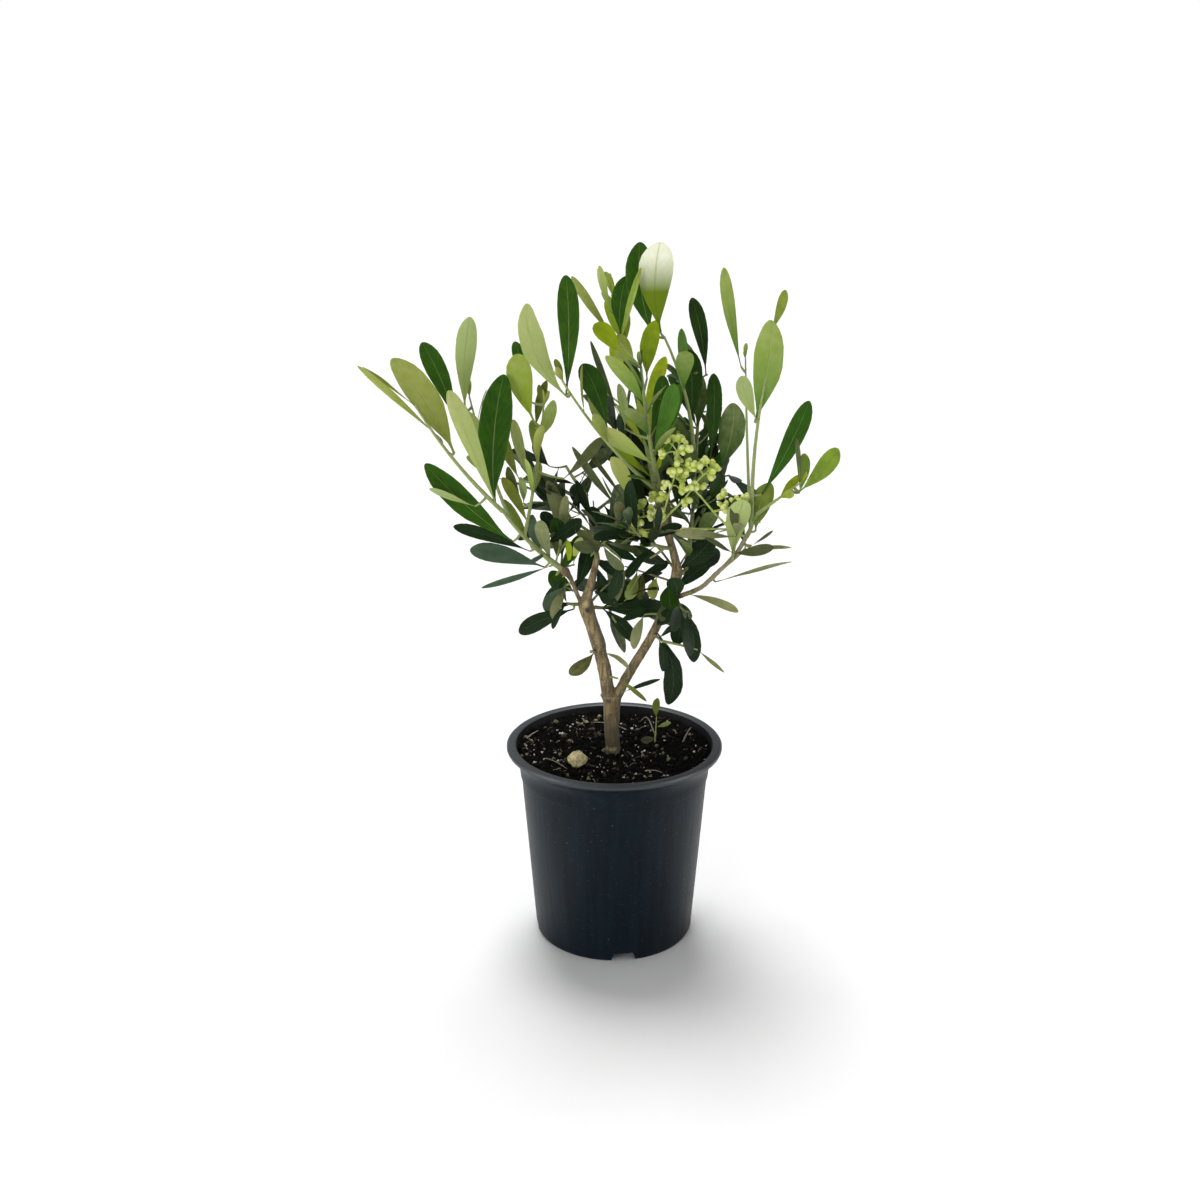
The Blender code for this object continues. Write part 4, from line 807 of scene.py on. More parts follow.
def limb_rings(name, step=1.5):
    """(centre, axis, wide, deep) every few millimetres along a limb, on a smooth line through its
    stations, with its root drawn back into the limb that bears it."""
    stations = [(Vector(s[:3]), s[3] if isinstance(s[3], tuple) else (s[3], s[3])) for s in LIMBS[name]]
    back = (stations[0][0] - stations[1][0]).normalized() * ROOTED[name]
    stations.insert(0, (stations[0][0] + back, stations[0][1]))
    rings, last = [], len(stations) - 1
    for k in range(last):
        before, (a, ra), (b, rb), after = (stations[max(k - 1, 0)][0], stations[k], stations[k + 1],
                                           stations[min(k + 2, last)][0])
        pull_a, pull_b = (b - before) / 2, (after - a) / 2
        count = max(int((b - a).length / step), 1)
        for j in range(count + (k == last - 1)):
            t = j / count
            centre = (a * (2 * t**3 - 3 * t**2 + 1) + pull_a * (t**3 - 2 * t**2 + t)
                      + b * (3 * t**2 - 2 * t**3) + pull_b * (t**3 - t**2))
            ease = t * t * (3 - 2 * t)
            rings.append([centre, None, ra[0] + (rb[0] - ra[0]) * ease, ra[1] + (rb[1] - ra[1]) * ease])
    for k, ring in enumerate(rings):
        ring[1] = (rings[min(k + 1, len(rings) - 1)][0] - rings[max(k - 1, 0)][0]).normalized()
    return rings


def across(axis):
    """Two directions square to an axis, the first one as near as can be to the right."""
    right = AWAY.cross(axis).normalized()
    return right, axis.cross(right).normalized()


# %% Skin of the limbs
points, faces = [], []
limb_balls = []
for name in LIMBS:
    rings = limb_rings(name)
    first = len(points)
    for centre, axis, wide, deep in rings:
        limb_balls.append((centre, wide))
        right, back = across(axis)
        for k in range(LIMB_SIDES):
            angle = math.tau * k / LIMB_SIDES
            points.append(centre + right * wide * math.cos(angle) + back * deep * math.sin(angle))
    faces += tube_faces(len(rings), LIMB_SIDES, first)
    faces.append(tuple(reversed(range(first, first + LIMB_SIDES))))
    faces.append(tuple(range(len(points) - LIMB_SIDES, len(points))))

# %% [markdown]
# Leaf scars sit in opposite pairs along young wood, and cut twigs leave short blunt collars.
# Both are small lumps that stand half out of the limb before the Remesh, so they end up with
# soft roots.

# %% Scars and cut collars
SCAR_STEP = 9
SCARRED = ("left_bough", "right_bough", "centre_bough", "right_side_branch", "trunk")
# Cuts: centre, size and the way each one faces
CUTS = (((-17.2, -4.6, 225.5), 3.0, (0.1, -1.0, 0.05)), ((-4.0, -4.6, 163.5), 2.0, (-0.3, -1.0, 0.2)),
        ((37.6, 3.0, 236.0), 1.8, (-0.2, -1.0, 0.3)), ((-9.6, -4.0, 196.0), 1.8, (0.5, -1.0, 0.3)))


def knob(centre, size, axis):
    """Adds a blunt lump, flattened along an axis."""
    work = bmesh.new()
    bmesh.ops.create_icosphere(work, subdivisions=2, radius=1.0)
    first = len(points)
    turn = Vector(axis).normalized().to_track_quat("Z", "Y")
    for vert in work.verts:
        lump = Vector((vert.co.x * size, vert.co.y * size, vert.co.z * size * 0.7))
        points.append(Vector(centre) + turn @ lump)
    faces.extend(tuple(first + v.index for v in face.verts) for face in work.faces)
    work.free()


for name in SCARRED:
    for index, (centre, axis, wide, deep) in enumerate(limb_rings(name)[6:-3:SCAR_STEP]):
        right, back = across(axis)
        way = right if index % 2 else back
        for hand in (-1, 1):
            knob(centre + way * hand * wide * 0.86, wide * 0.3, way * hand)
for centre, size, axis in CUTS:
    knob(centre, size, axis)
wood = plain("olive_wood", points, faces)
melt = wood.modifiers.new("melt", "REMESH")
melt.mode, melt.voxel_size = "VOXEL", VOXEL * MM
soften = wood.modifiers.new("soften", "SMOOTH")
soften.factor, soften.iterations = 0.5, 4
fixed(wood)
print("melted limbs:", len(wood.data.polygons), "faces")

# %% [markdown]
# Young olive bark is grey-tan with a darker weathered film. The side of each limb that faces
# right is painted darker and a little greener as shade. Some things have a place on this plant:
# a green foot with a pale ring at the soil, dark dry pruning cuts, a reddish knob at the end of
# the left side branch and greyer wood on the right one. Each is a soft spot, stored as an
# attribute, that the finish blends in.

# %% Bark finish
bark, tree, shader = surface("young_olive_bark", IOR=1.5)
film = grain(tree, 6.0, (1.0, 1.0, 0.5), 5.0)
streak = grain(tree, 1.6, (1.0, 1.0, 0.12), 5.0, 0.45, 0.62)
rings = grain(tree, 3.0, (0.25, 0.25, 1.6), 4.0, 0.6, 0.68)
flecks = grain(tree, 1.0, (1.0, 1.0, 1.0), 2.0, 0.62, 0.7)
tan = mix(tree, film, "#6c5934", "#a49166")
grained = mix(tree, weighted(tree, streak, 0.75), tan, "#4d4229")
ringed = mix(tree, weighted(tree, rings, 0.6), grained, "#3f3320")
flecked = mix(tree, weighted(tree, flecks, 0.6), ringed, "#c9bd97")
# What has a place of its own, each over the one before; the darker side facing right is painted shade
PLACED = (("red_knob", "#6a4838"), ("green_foot", "#403a18"), ("pale_ring", "#d0c48c"),
          ("grey_branch", "#8a8768"), ("lee_side", "#3a3018"), ("dark_cut", "#1d1712"))
coloured = flecked
for name, colour in PLACED:
    place = add(tree, "ShaderNodeAttribute", {"attribute_name": name}).outputs["Fac"]
    coloured = mix(tree, place, coloured, colour)
tree.links.new(coloured, shader.inputs["Base Color"])
rough = add(tree, "ShaderNodeMapRange", {"To Min": 0.62, "To Max": 0.85}, Value=film).outputs[0]
tree.links.new(rough, shader.inputs["Roughness"])
bump(tree, shader, streak, 0.2, bump(tree, shader, rings, 0.12, bump(tree, shader, flecks, 0.06)))

grown(wood, relief, lump_size=7.0, lump_height=0.9, grain_size=1.6, grain_height=0.5, along=0.3,
      material=bark)

# %% Where the spots are
SHADE_SIDE_STRENGTH, SHADE_SIDE_SLOPE, SHADE_SIDE_START = 0.6, 1.4, 0.2
SPOT_FADE = 1.6
# Spots of each kind: centre, radius and strength
SPOTS = {
    "red_knob": (((-31.0, -6.0, 251.5), 5.0, 0.8),),
    "green_foot": (((-2.0, -3.0, 136.0), 18.0, 0.75), ((0.0, -5.0, 152.0), 5.0, 0.3)),
    "pale_ring": (((-5.0, -3.6, 129.4), 1.9, 0.6), ((-2.4, -5.0, 129.0), 1.9, 0.6),
                  ((0.4, -4.6, 129.2), 1.9, 0.6), ((-18.0, -4.8, 229.0), 3.2, 0.6)),
    "grey_branch": (((62.0, -12.0, 251.0), 24.0, 0.8), ((80.0, -24.0, 278.0), 16.0, 0.8)),
    "dark_cut": (((-17.2, -5.8, 225.5), 2.6, 0.95), ((-4.0, -5.6, 163.5), 1.8, 0.8),
                 ((37.6, 1.6, 236.0), 1.6, 0.7), ((-11.3, 4.0, 257.6), 2.6, 0.6)),
}


def spotted(point, place, radius, strength):
    """How much a spot shows at a point: all of its strength near its centre, none past its radius."""
    share = (point / MM - Vector(place)).length / radius
    return strength * min(max(SPOT_FADE * (1 - share), 0.0), 1.0)


for name, places in SPOTS.items():
    values = [max(spotted(vert.co, *place) for place in places) for vert in wood.data.vertices]
    store(wood.data, "FLOAT", **{name: values})
# Painted shade: the further a point of the bark faces right, the darker it is painted.
store(wood.data, "FLOAT", lee_side=[SHADE_SIDE_STRENGTH * min(max(normal.vector.x * SHADE_SIDE_SLOPE - SHADE_SIDE_START, 0.0), 1.0)
                                    for normal in wood.data.vertex_normals])
wood.data.shade_smooth()
done(wood, "bark", *LIMBS)

# %% [markdown]
# ## How an olive grows
#
# Olive leaves stand in opposite pairs, and each pair is turned a quarter from the one below.
# A crown is therefore a rule and a short list of shoots: where a shoot starts on its parent,
# which way it heads, how many pairs it bears, and how old it is, because old leaves spread
# and droop while young ones hug the tip. A few leaves that give the crown its outline are
# listed one by one, and so are the flowering stalks further down. The solids of the frame follow
# the same rule, so the twigs here meet the space that the solids keep.

# %% Rows of the crown
Shoot = namedtuple(
    "Shoot",
    "name parent at reach azimuth rise bow swerve girth first pairs leaf turn step splay lift age shade",
)
Single = namedtuple("Single", "shoot at turn splay length width view shade")
Leaf = namedtuple("Leaf", "shoot at turn splay length width lift bend twist view shade curl", defaults=(0,))
Mass = namedtuple("Mass", "name limb height side tint seed shoots singles")
SEEDLING_PLACE = (27.0, 12.0)
SOIL_UNEVEN = 0.35

MASSES = (
    Mass("left_outer_foliage", "left_side_branch", 0, 0, "olive", 11, (
        Shoot("stem", "", 0, 56, -154, 47, -2, 0, 1.9, .3, 1, 34, 60, 70, 60, .1, .5, "dusky"),
        Shoot("tip", "stem", 1, 87, -160, 53, -3, 0, 1.4, .45, 0, 42, 60, 90, 30, .2, .2, "olive"),
        Shoot("behind", "stem", .85, 84, 126, 57, -3, 0, 1.2, .3, 4, 32, 0, 90, 34, .1, .3, "pale"),
        Shoot("inner", "stem", .6, 82, 52, 76, -2, 0, 1.2, .3, 4, 34, 40, 90, 30, .1, .3, "olive"),
        Shoot("knob", "stem", .08, 12, -37, 74, 0, 0, .8, .3, 2, 22, 0, 90, 30, .2, .2, "grey"),
    ), (
        Single("tip", .06, -8, 26, 88, 12, -1, "silver"),
        Single("tip", .08, 22, 50, 79, 20, 1, "mature"),
        Single("tip", 1, 170, 24, 38, 6, 0, "olive"),
        Single("stem", .14, -15, 32, 34, 9, -1, "grey"),
    )),
    Mass("left_back_foliage", "left_bough", 0, 0, "dark", 12, (
        Shoot("stem", "", 0, 44, 104, 49, -2, 0, 1.8, .2, 4, 48, 0, 70, 66, 0, 1, "shade"),
        Shoot("far", "stem", 1, 54, 122, 34, -3, 0, 1.3, .2, 4, 50, 45, 90, 50, .1, .8, "shade"),
        Shoot("right", "stem", .7, 48, 50, 22, -2, 0, 1.2, .3, 4, 52, 0, 90, 55, .1, .9, "shade"),
        Shoot("left", "stem", .4, 42, 165, 40, -2, 0, 1.1, .3, 4, 44, 0, 90, 50, .1, .8, "shade"),
        Shoot("front", "stem", .15, 30, -50, 44, -2, 0, 1.0, .35, 3, 34, 0, 90, 50, 0, .9, "grey"),
    ), ()),
    Mass("left_lower_foliage", "left_bough", 228, -165, "dark", 13, (
        Shoot("stem", "", 0, 17, -150, 22, -1, 0, 1.1, .4, 1, 26, 40, 60, 50, -.25, 1, "shade"),
    ), (
        Single("stem", .1, 126, 54, 21, 7, 0, "shade"),
    )),
    Mass("knot_foliage", "left_bough", 224, 40, "dark", 14, (
        Shoot("stem", "", 0, 26, 38, 4, -3, 0, 1.2, .4, 4, 44, 20, 60, 55, -.2, 1, "shade"),
    ), (
        Single("stem", .16, -122, 35, 42, 12, 1, "shade"),
        Single("stem", .18, -41, 44, 34, 9, 1, "shade"),
        Single("stem", .2, -158, 36, 32, 9, 1, "shade"),
    )),
    Mass("left_bough_leaf", "left_bough", 196, -160, "olive", 22, (
        Shoot("stem", "", 0, 3, -160, 10, 0, 0, .8, .5, 0, 20, 0, 90, 40, 0, 1, "brown"),
    ), ()),
    Mass("fork_leaves", "trunk", 162, -15, "olive", 23, (
        Shoot("stem", "", 0, 4, -10, 25, 0, 0, .9, .5, 0, 20, 0, 90, 40, 0, 1, "grey"),
    ), ()),
    Mass("centre_foliage", "centre_bough", 0, 0, "olive", 15, (
        Shoot("stem", "", 0, 94, -118, 71, -3, 0, 1.9, .15, 6, 40, 45, 90, 42, .1, .5, "mature"),
        Shoot("left", "stem", .06, 105, -148, 48, -4, 0, 1.4, .5, 3, 36, 90, 90, 32, .2, .2, "olive"),
    ), (
        Single("stem", .3, 176, 37, 44, 12, -1, "pale"),
        Single("stem", .74, 179, 29, 40, 10, -1, "mid"),
        Single("stem", .41, 19, 29, 44, 11, 1, "mid"),
    )),
    Mass("top_foliage", "centre_bough", 274, 130, "fresh", 16, (
        Shoot("stem", "", 0, 150, 153, 76, -3, 4, 1.8, .22, 8, 46, 20, 90, 42, .1, .35, "fresh"),
    ), ()),
    Mass("upper_right_foliage", "right_bough", 246, 20, "dark", 17, (
        Shoot("stem", "", 0, 56, 60, 80, -2, 0, 1.9, .15, 6, 46, 90, 70, 62, 0, .9, "deep"),
        Shoot("top", "stem", 1, 109, -140, 73, 0, 7, 1.5, .35, 4, 42, 30, 90, 32, .1, .3, "mid"),
        Shoot("dark", "stem", .98, 86, 79, 76, -2, 0, 1.4, .2, 5, 44, 40, 90, 34, .1, .6, "deep"),
        Shoot("back", "stem", .5, 74, 58, 40, -5, 0, 1.4, .3, 4, 50, 0, 90, 50, .1, .7, "shade"),
    ), ()),
    Mass("right_foliage", "right_side_branch", 0, 0, "fresh", 18, (
        Shoot("stem", "", 0, 14, -40, 66, 0, 0, 1.4, .5, 1, 26, 90, 90, 50, 0, .8, "mature"),
        Shoot("upright", "stem", .4, 112, 50, 81, 0, -4, 1.3, .4, 1, 34, 0, 90, 26, .1, .2, "mid"),
        Shoot("outer", "stem", 1, 36, -26, 40, 0, 0, 1.1, .5, 2, 26, 90, 90, 40, .2, .2, "fresh"),
        Shoot("slender", "stem", .2, 106, 94, 68, -3, 0, 1.1, .3, 3, 26, 90, 90, 26, .1, .4, "mid"),
    ), ()),
    Mass("right_front_foliage", "right_side_branch", 263, -80, "olive", 19, (
        Shoot("stem", "", 0, 20, -75, 66, 0, 0, 1.1, .3, 2, 34, 0, 90, 55, .1, .8, "grey"),
    ), (
        Single("stem", .15, 83, 15, 41, 14, -1, "silver"),
        Single("stem", 1, -173, 85, 39, 8, -1, "grey"),
    )),
    Mass("right_lower_foliage", "right_bough", 232, -60, "dark", 20, (
        Shoot("stem", "", 0, 16, -60, -22, -2, 0, 1.3, .4, 2, 38, 60, 60, 58, -.3, 1, "shade"),
    ), (
        Single("stem", .27, 58, 37, 40, 12, 1, "shade"),
        Single("stem", .3, 48, 67, 33, 12, 1, "shade"),
        Single("stem", .13, 0, 63, 20, 8, 1, "shade"),
        Single("stem", .24, 142, 15, 14, 8, -1, "shade"),
        Single("stem", .1, -103, 100, 26, 11, 1, "shade"),
    )),
    Mass("hanging_leaves", "right_bough", 207, -70, "dark", 24, (
        Shoot("stem", "", 0, 8, -60, -10, 0, 0, 1.1, .5, 1, 26, 0, 90, 60, -.2, 1, "shade"),
    ), ()),
    Mass("front_foliage", "centre_bough", 264, -120, "dark", 25, (
        Shoot("stem", "", 0, 46, -128, 30, -3, 0, 1.3, .3, 4, 42, 30, 90, 52, .05, .8, "shade"),
    ), ()),
    Mass("soil_seedling", "soil", 0, 0, "fresh", 26, (
        Shoot("stem", "", 0, 17, 60, 84, 0, 0, .6, .5, 0, 20, 0, 90, 40, 0, .2, "mid"),
    ), (
        Single("stem", 1, 90, 8, 13, 5, 1, "olive"),
        Single("stem", .55, -10, 62, 11, 4, -1, "pale"),
        Single("stem", .15, -150, 95, 11, 5, 1, "brown"),
    )),
    Mass("back_foliage", "centre_bough", 262, 95, "dark", 21, (
        Shoot("stem", "", 0, 88, 93, 44, -5, 0, 1.7, .3, 5, 50, 0, 90, 52, .1, .8, "shade"),
        Shoot("left", "stem", .45, 54, 150, 45, -3, 0, 1.2, .25, 4, 46, 0, 90, 45, .1, .6, "shade"),
        Shoot("right", "stem", .4, 44, 40, 30, -3, 0, 1.2, .25, 3, 46, 0, 90, 45, .1, .8, "deep"),
    ), ()),
)

# %% [markdown]
# The heart of the crown is filled by short sprigs straight from the wood. Their leaves are easier
# to describe as a gardener sees them from the front: `clock` is the way a leaf points, 0 to the
# right and 90 up, and `depth` is how far it leans away from the front, both in degrees.

# %% Sprigs of the inner crown
Sprig = namedtuple("Sprig", "tint limb height reach azimuth rise bow girth fronds")
Frond = namedtuple("Frond", "at clock depth length width view shade")
SPRIGS = (
    Sprig("dark", "left_bough", 225, 36, 24, 38, 2, 0.9, (
        Frond(1.0, 246, -12, 23, 8, -1, "grey"), Frond(1.0, 212, -8, 26, 6, -1, "grey"),
        Frond(0.72, -30, 16, 17, 7, 1, "shade"), Frond(0.55, 186, 28, 27, 9, 1, "shade"),
    )),
    Sprig("fresh", "left_side_branch", 0, 9, 10, 12, 0, 0.9, (
        Frond(0.9, 76, -12, 22, 5.5, -1, "pale"), Frond(0.55, 91, -16, 18, 4, 1, "fresh"),
    )),
    Sprig("dark", "left_side_branch", 0, 24, 86, 46, -1, 0.8, (
        Frond(0.3, 99, -6, 27, 10, 1, "deep"), Frond(0.7, 86, 4, 33, 6, -1, "grey"),
        Frond(1.0, 92, 8, 20, 6.5, 1, "olive"), Frond(0.8, 104, 20, 40, 9.5, -1, "grey"),
        Frond(0.6, 122, 22, 28, 9, 1, "shade"),
    )),
    Sprig("dark", "left_side_branch", 236, 7, -170, 30, 0, 0.8, (
        Frond(0.1, 144, 10, 21, 11, 1, "deep"), Frond(1.0, 243, -10, 22, 7, -1, "grey"),
        Frond(0.2, 72, 20, 32, 10, 1, "shade"),
    )),
    Sprig("dark", "left_bough", 0, 40, 96, 50, -1, 0.9, (
        Frond(0.2, 50, -12, 28, 6.5, 1, "mid"), Frond(0.35, 66, 12, 17, 9, 1, "shade"),
        Frond(0.45, 100, 14, 17, 9, 1, "shade"), Frond(0.65, 113, 0, 29, 5.5, 1, "shade"),
        Frond(0.05, 84, -8, 10, 5, 1, "brown"), Frond(0.5, 20, 18, 26, 11, 1, "shade"),
    )),
    Sprig("dark", "right_bough", 246, 46, 150, 42, 2, 0.9, (
        Frond(0.15, 150, -20, 30, 9, 1, "shade"), Frond(0.45, 152, -28, 15, 6, -1, "mid"),
        Frond(1.0, 250, -14, 21, 9, 1, "deep"), Frond(0.95, 84, -2, 28, 8, 1, "shade"),
        Frond(0.75, 208, -10, 24, 6, 1, "olive"), Frond(0.65, 172, 12, 27, 11, 1, "shade"),
        Frond(1.0, 130, 4, 33, 3, 0, "grey"),
    )),
    Sprig("dark", "right_bough", 240, 34, 166, 14, 0, 0.8, (
        Frond(0.75, 250, -8, 20, 8, -1, "olive"), Frond(0.35, 257, -14, 15, 7, -1, "olive"),
        Frond(0.45, 288, 6, 13, 4, 1, "shade"), Frond(0.62, 264, 14, 20, 7, -1, "brown"),
        Frond(0.05, 266, -30, 20, 12.5, 1, "deep"),
    )),
    Sprig("dark", "right_bough", 248, 16, 60, 30, 0, 0.8, (
        Frond(0.05, 46, -8, 31, 14, 1, "shade"), Frond(0.1, 20, 12, 30, 12, 1, "shade"),
        Frond(0.8, 74, 8, 30, 9, 1, "shade"),
    )),
    Sprig("dark", "right_bough", 229, 8, -40, 0, 0, 0.8, (
        Frond(0.2, 236, -22, 16, 7, 1, "grey"), Frond(0.3, -42, -18, 17, 7.5, -1, "grey"),
    )),
)

# %% [markdown]
# Some leaves stand so far out or so far forward that they give the crown its face. They are
# listed one by one, by the place of their base in millimetres; each grows on a short spur from
# the nearest wood. `curl` is the way the blade sways in its own plane.

# %% Leaves that give the crown its face
Lone = namedtuple("Lone", "base clock depth length width curl view shade")
# Each leaf: base in millimetres, clock, depth, length, width, curl, view and shade
LONE_LEAVES = {
    "olive": (
        ((-96, -34, 333), 121, 4, 67, 19, 0, -1, "olive"),
        ((-104, -36, 343), 136, 0, 64, 5, 0, -1, "olive"), ((-98, 6, 343), 113, 8, 54, 13, 1, 1, "mature"),
        ((-93, 10, 350), 86, 6, 58, 13, 1, -1, "silver"),
        ((-85, -28, 299), 159, 10, 30, 5, 0, -1, "silver"), ((-52, 4, 357), 105, 8, 38, 9, 1, 1, "mature"),
        ((-50, -4, 347), 103, 4, 42, 16, 1, -1, "fresh"), ((-48, -6, 334), 68, 6, 28, 8, -1, -1, "olive"),
        ((-49, 2, 341), 77, 8, 30, 6, 0, 1, "olive"), ((-53, -2, 308), 103, 0, 41, 7, 1, -1, "silver"),
        ((86, -24, 283), 75, 0, 31, 13, 0, 1, "olive"), ((-32, 2, 309), 47, 6, 35, 7, 0, 1, "grey"),
        ((-58, -4, 293), 109, 4, 26, 6, 0, 1, "grey"), ((-54, -10, 283), 118, 4, 33, 7, 1, 1, "olive"),
        ((-57, -2, 294), 96, 6, 17, 5, 0, -1, "silver"), ((83, -26, 273), 2, 0, 25, 3, 0, -1, "grey"),
        ((63, -14, 247), 18, 0, 49, 3, -1, -1, "grey"), ((84, -22, 273), 37, 0, 16, 2, 0, 1, "grey"),
        ((2, -8, 180), 320, 0, 25, 3, 0, 1, "olive"), ((-63, -18, 274), 137, 0, 72, 15, -1, 1, "mature"),
        ((-53, -12, 266), 161, 0, 50, 8, 1, 1, "shade"), ((-44, -10, 255), 166, 0, 48, 12, 1, 1, "dusky"),
        ((-41, -8, 255), 198, 0, 46, 4, 0, 1, "dusky"), ((-28, -34, 367), 113, 4, 60, 15, 2, -1, "silver"),
        ((-29, -34, 369), 90, 4, 69, 13, 1, 1, "mature"), ((-59, -8, 311), 110, 4, 34, 7, 0, 1, "olive"),
        ((-52, -14, 269), 119, 0, 35, 6, 0, 1, "olive"),
    ),
    "fresh": (
        ((-1, 4, 396), 124, 6, 45, 6, 1, -1, "olive"), ((-3, 6, 412), 104, 8, 28, 5, 0, -1, "pale"),
        ((3, 2, 399), 84, 10, 35, 12, 0, 1, "mature"), ((3, -6, 395), 75, 0, 46, 4, 0, 1, "pale"),
        ((3, -8, 387), 128, 4, 25, 11, 1, 1, "fresh"), ((19, -10, 374), 82, 6, 35, 11, 0, 1, "fresh"),
        ((-5, -20, 346), 111, 8, 41, 14, 1, 1, "deep"), ((2, 6, 349), 111, 6, 48, 4, 0, 1, "grey"),
        ((6, -4, 342), 98, 6, 28, 6, 0, -1, "silver"), ((93, -8, 402), 72, 6, 26, 6, 0, 1, "pale"),
        ((85, -20, 351), 110, 10, 28, 10, 0, -1, "silver"), ((84, -18, 349), 83, 4, 62, 18, -1, -1, "mid"),
        ((77, 10, 378), 101, 4, 61, 8, 1, -1, "mid"), ((89, -24, 306), 65, 0, 63, 12, 1, 1, "mature"),
        ((110, -40, 312), 50, 0, 34, 11, 0, 1, "lime"), ((110, -40, 311), 85, 0, 24, 7, 0, 1, "lime"),
        ((110, -40, 312), 95, 0, 32, 3, 0, 1, "grey"),
    ),
    "dark": (
        ((46, 12, 338), 91, 8, 50, 14, 1, 1, "deep"), ((30, -14, 331), 77, 10, 41, 10, -1, 1, "mid"),
        ((59, 10, 318), 88, 8, 55, 10, 0, 1, "deep"), ((53, -6, 199), 320, 0, 23, 3, -1, -1, "grey"),
        ((19, -4, 222), 253, 0, 24, 7, 0, -1, "grey"), ((46, -8, 237), 342, 0, 34, 7, 1, -1, "grey"),
        ((2, -2, 291), 127, 8, 48, 5, 0, 1, "grey"), ((7, 4, 293), 127, 6, 40, 3, 0, 1, "grey"),
        ((9, -10, 299), 112, 4, 29, 10, 0, -1, "pale"), ((-33, -4, 247), 246, 6, 27, 8, 0, 1, "shade"),
        ((-12, 4, 252), 283, 4, 28, 8, 0, 1, "shade"), ((4, -6, 259), 255, 6, 29, 8, 0, 1, "shade"),
        ((6, -4, 169), 21, 0, 25, 3, -1, 1, "shade"), ((-7, -4, 196), 329, 0, 19, 4, 2, -1, "grey"),
        ((-13, -6, 197), 226, 10, 23, 10, 0, -1, "brown"), ((22, 2, 399), 98, 4, 55, 18, -1, 1, "mature"),
        ((27, -2, 401), 91, 4, 53, 21, 1, -1, "white"), ((57, 36, 369), 101, 2, 48, 10, 0, 1, "deep"),
        ((66, 14, 312), 80, 6, 43, 17, -1, -1, "deep"), ((27, 2, 208), 280, -6, 50, 13, -2, 1, "shade"),
        ((-15, 8, 257), 330, 4, 25, 8, 0, 1, "shade"), ((16, 10, 244), 25, 4, 20, 6, 0, 1, "shade"),
        ((-14, 2, 236), 325, 4, 20, 6, 0, 1, "shade"), ((1, 6, 213), 29, 4, 21, 6, 0, 1, "shade"),
        ((-44, -10, 270), 34, 4, 28, 9, 0, 1, "shade"), ((-37, -8, 249), 59, 4, 30, 8, 0, 1, "deep"),
        ((39, 6, 235), 40, 0, 29, 9, 0, 1, "shade"), ((-26, -6, 226), 204, 0, 39, 11, 1, 1, "shade"),
        ((-31, -4, 241), 232, 0, 22, 9, 1, 1, "dusky"), ((17, 8, 253), 150, 4, 27, 7, 0, 1, "shade"),
        ((83, 10, 262), 110, 4, 33, 8, 0, 1, "shade"),
    ),
}
# Gaps through which the backdrop shows from the front: x and z of the centre, half width, half height
SKY_GAPS = (
    (-28, 336, 16, 24), (21, 388, 4, 12), (-114, 333, 10, 6), (-94, 310, 14, 6), (24, 190, 5, 9),
    (34, 397, 6, 13), (12, 398, 6, 10), (-73, 251, 21, 6), (-39, 317, 8, 4), (-9, 302, 9, 10),
    (74, 366, 7, 8), (-5, 211, 5, 9), (29, 213, 5, 7), (73, 353, 6, 13), (20, 418, 5, 13),
    (-5, 307, 10, 16), (62, 392, 14, 34), (80, 334, 9, 26), (97, 336, 8, 20), (-60, 236, 16, 14),
    (58, 222, 10, 9),
)

# %% [markdown]
# ## From rows to paths and leaves
#
# A shoot's middle line is a chord with a little bow. `pair_rows` is the rule itself. The
# draws come from one seeded generator for each mass, in a fixed order, so the crown is the
# same on every run. Finer twigs come from the same rule at a smaller scale: older shoots
# bear short side shoots, which fill the shaded heart of the crown, and each tip ends in a
# pair of leaves that have just opened.

# %% Growth rule
ROOT_SUNK = 0.9
FINE_SPACING, FINE_AGE, FINE_REACH = 15.0, 0.6, 22


def heading(azimuth, rise):
    """Unit direction: azimuth 0 is to the right, 90 away from the front; rise is above level."""
    turn, climb = math.radians(azimuth), math.radians(rise)
    return Vector((math.cos(climb) * math.cos(turn), math.cos(climb) * math.sin(turn), math.sin(climb)))


class Path:
    """A shoot's middle line: a chord with a bow in its upright plane and a swerve across it."""

    def __init__(self, start, row):
        self.start, self.row = start, row
        self.chord = heading(row.azimuth, row.rise) * row.reach
        axis = self.chord.normalized()
        self.bend = (UP - axis * UP.dot(axis)).normalized() * row.bow + across(axis)[0] * row.swerve
        self.length = 0.0

    def bears(self, share):
        """Notes that something grows there, so that the twig is drawn at least that long."""
        self.length = max(self.length, share)

    def point(self, share):
        """A point on the middle line; share runs from 0 at the foot to 1 at the tip."""
        return self.start + self.chord * share + self.bend * 4 * share * (1 - share)

    def axis(self, share):
        """The direction in which the shoot grows there."""
        return (self.chord + self.bend * 4 * (1 - 2 * share)).normalized()


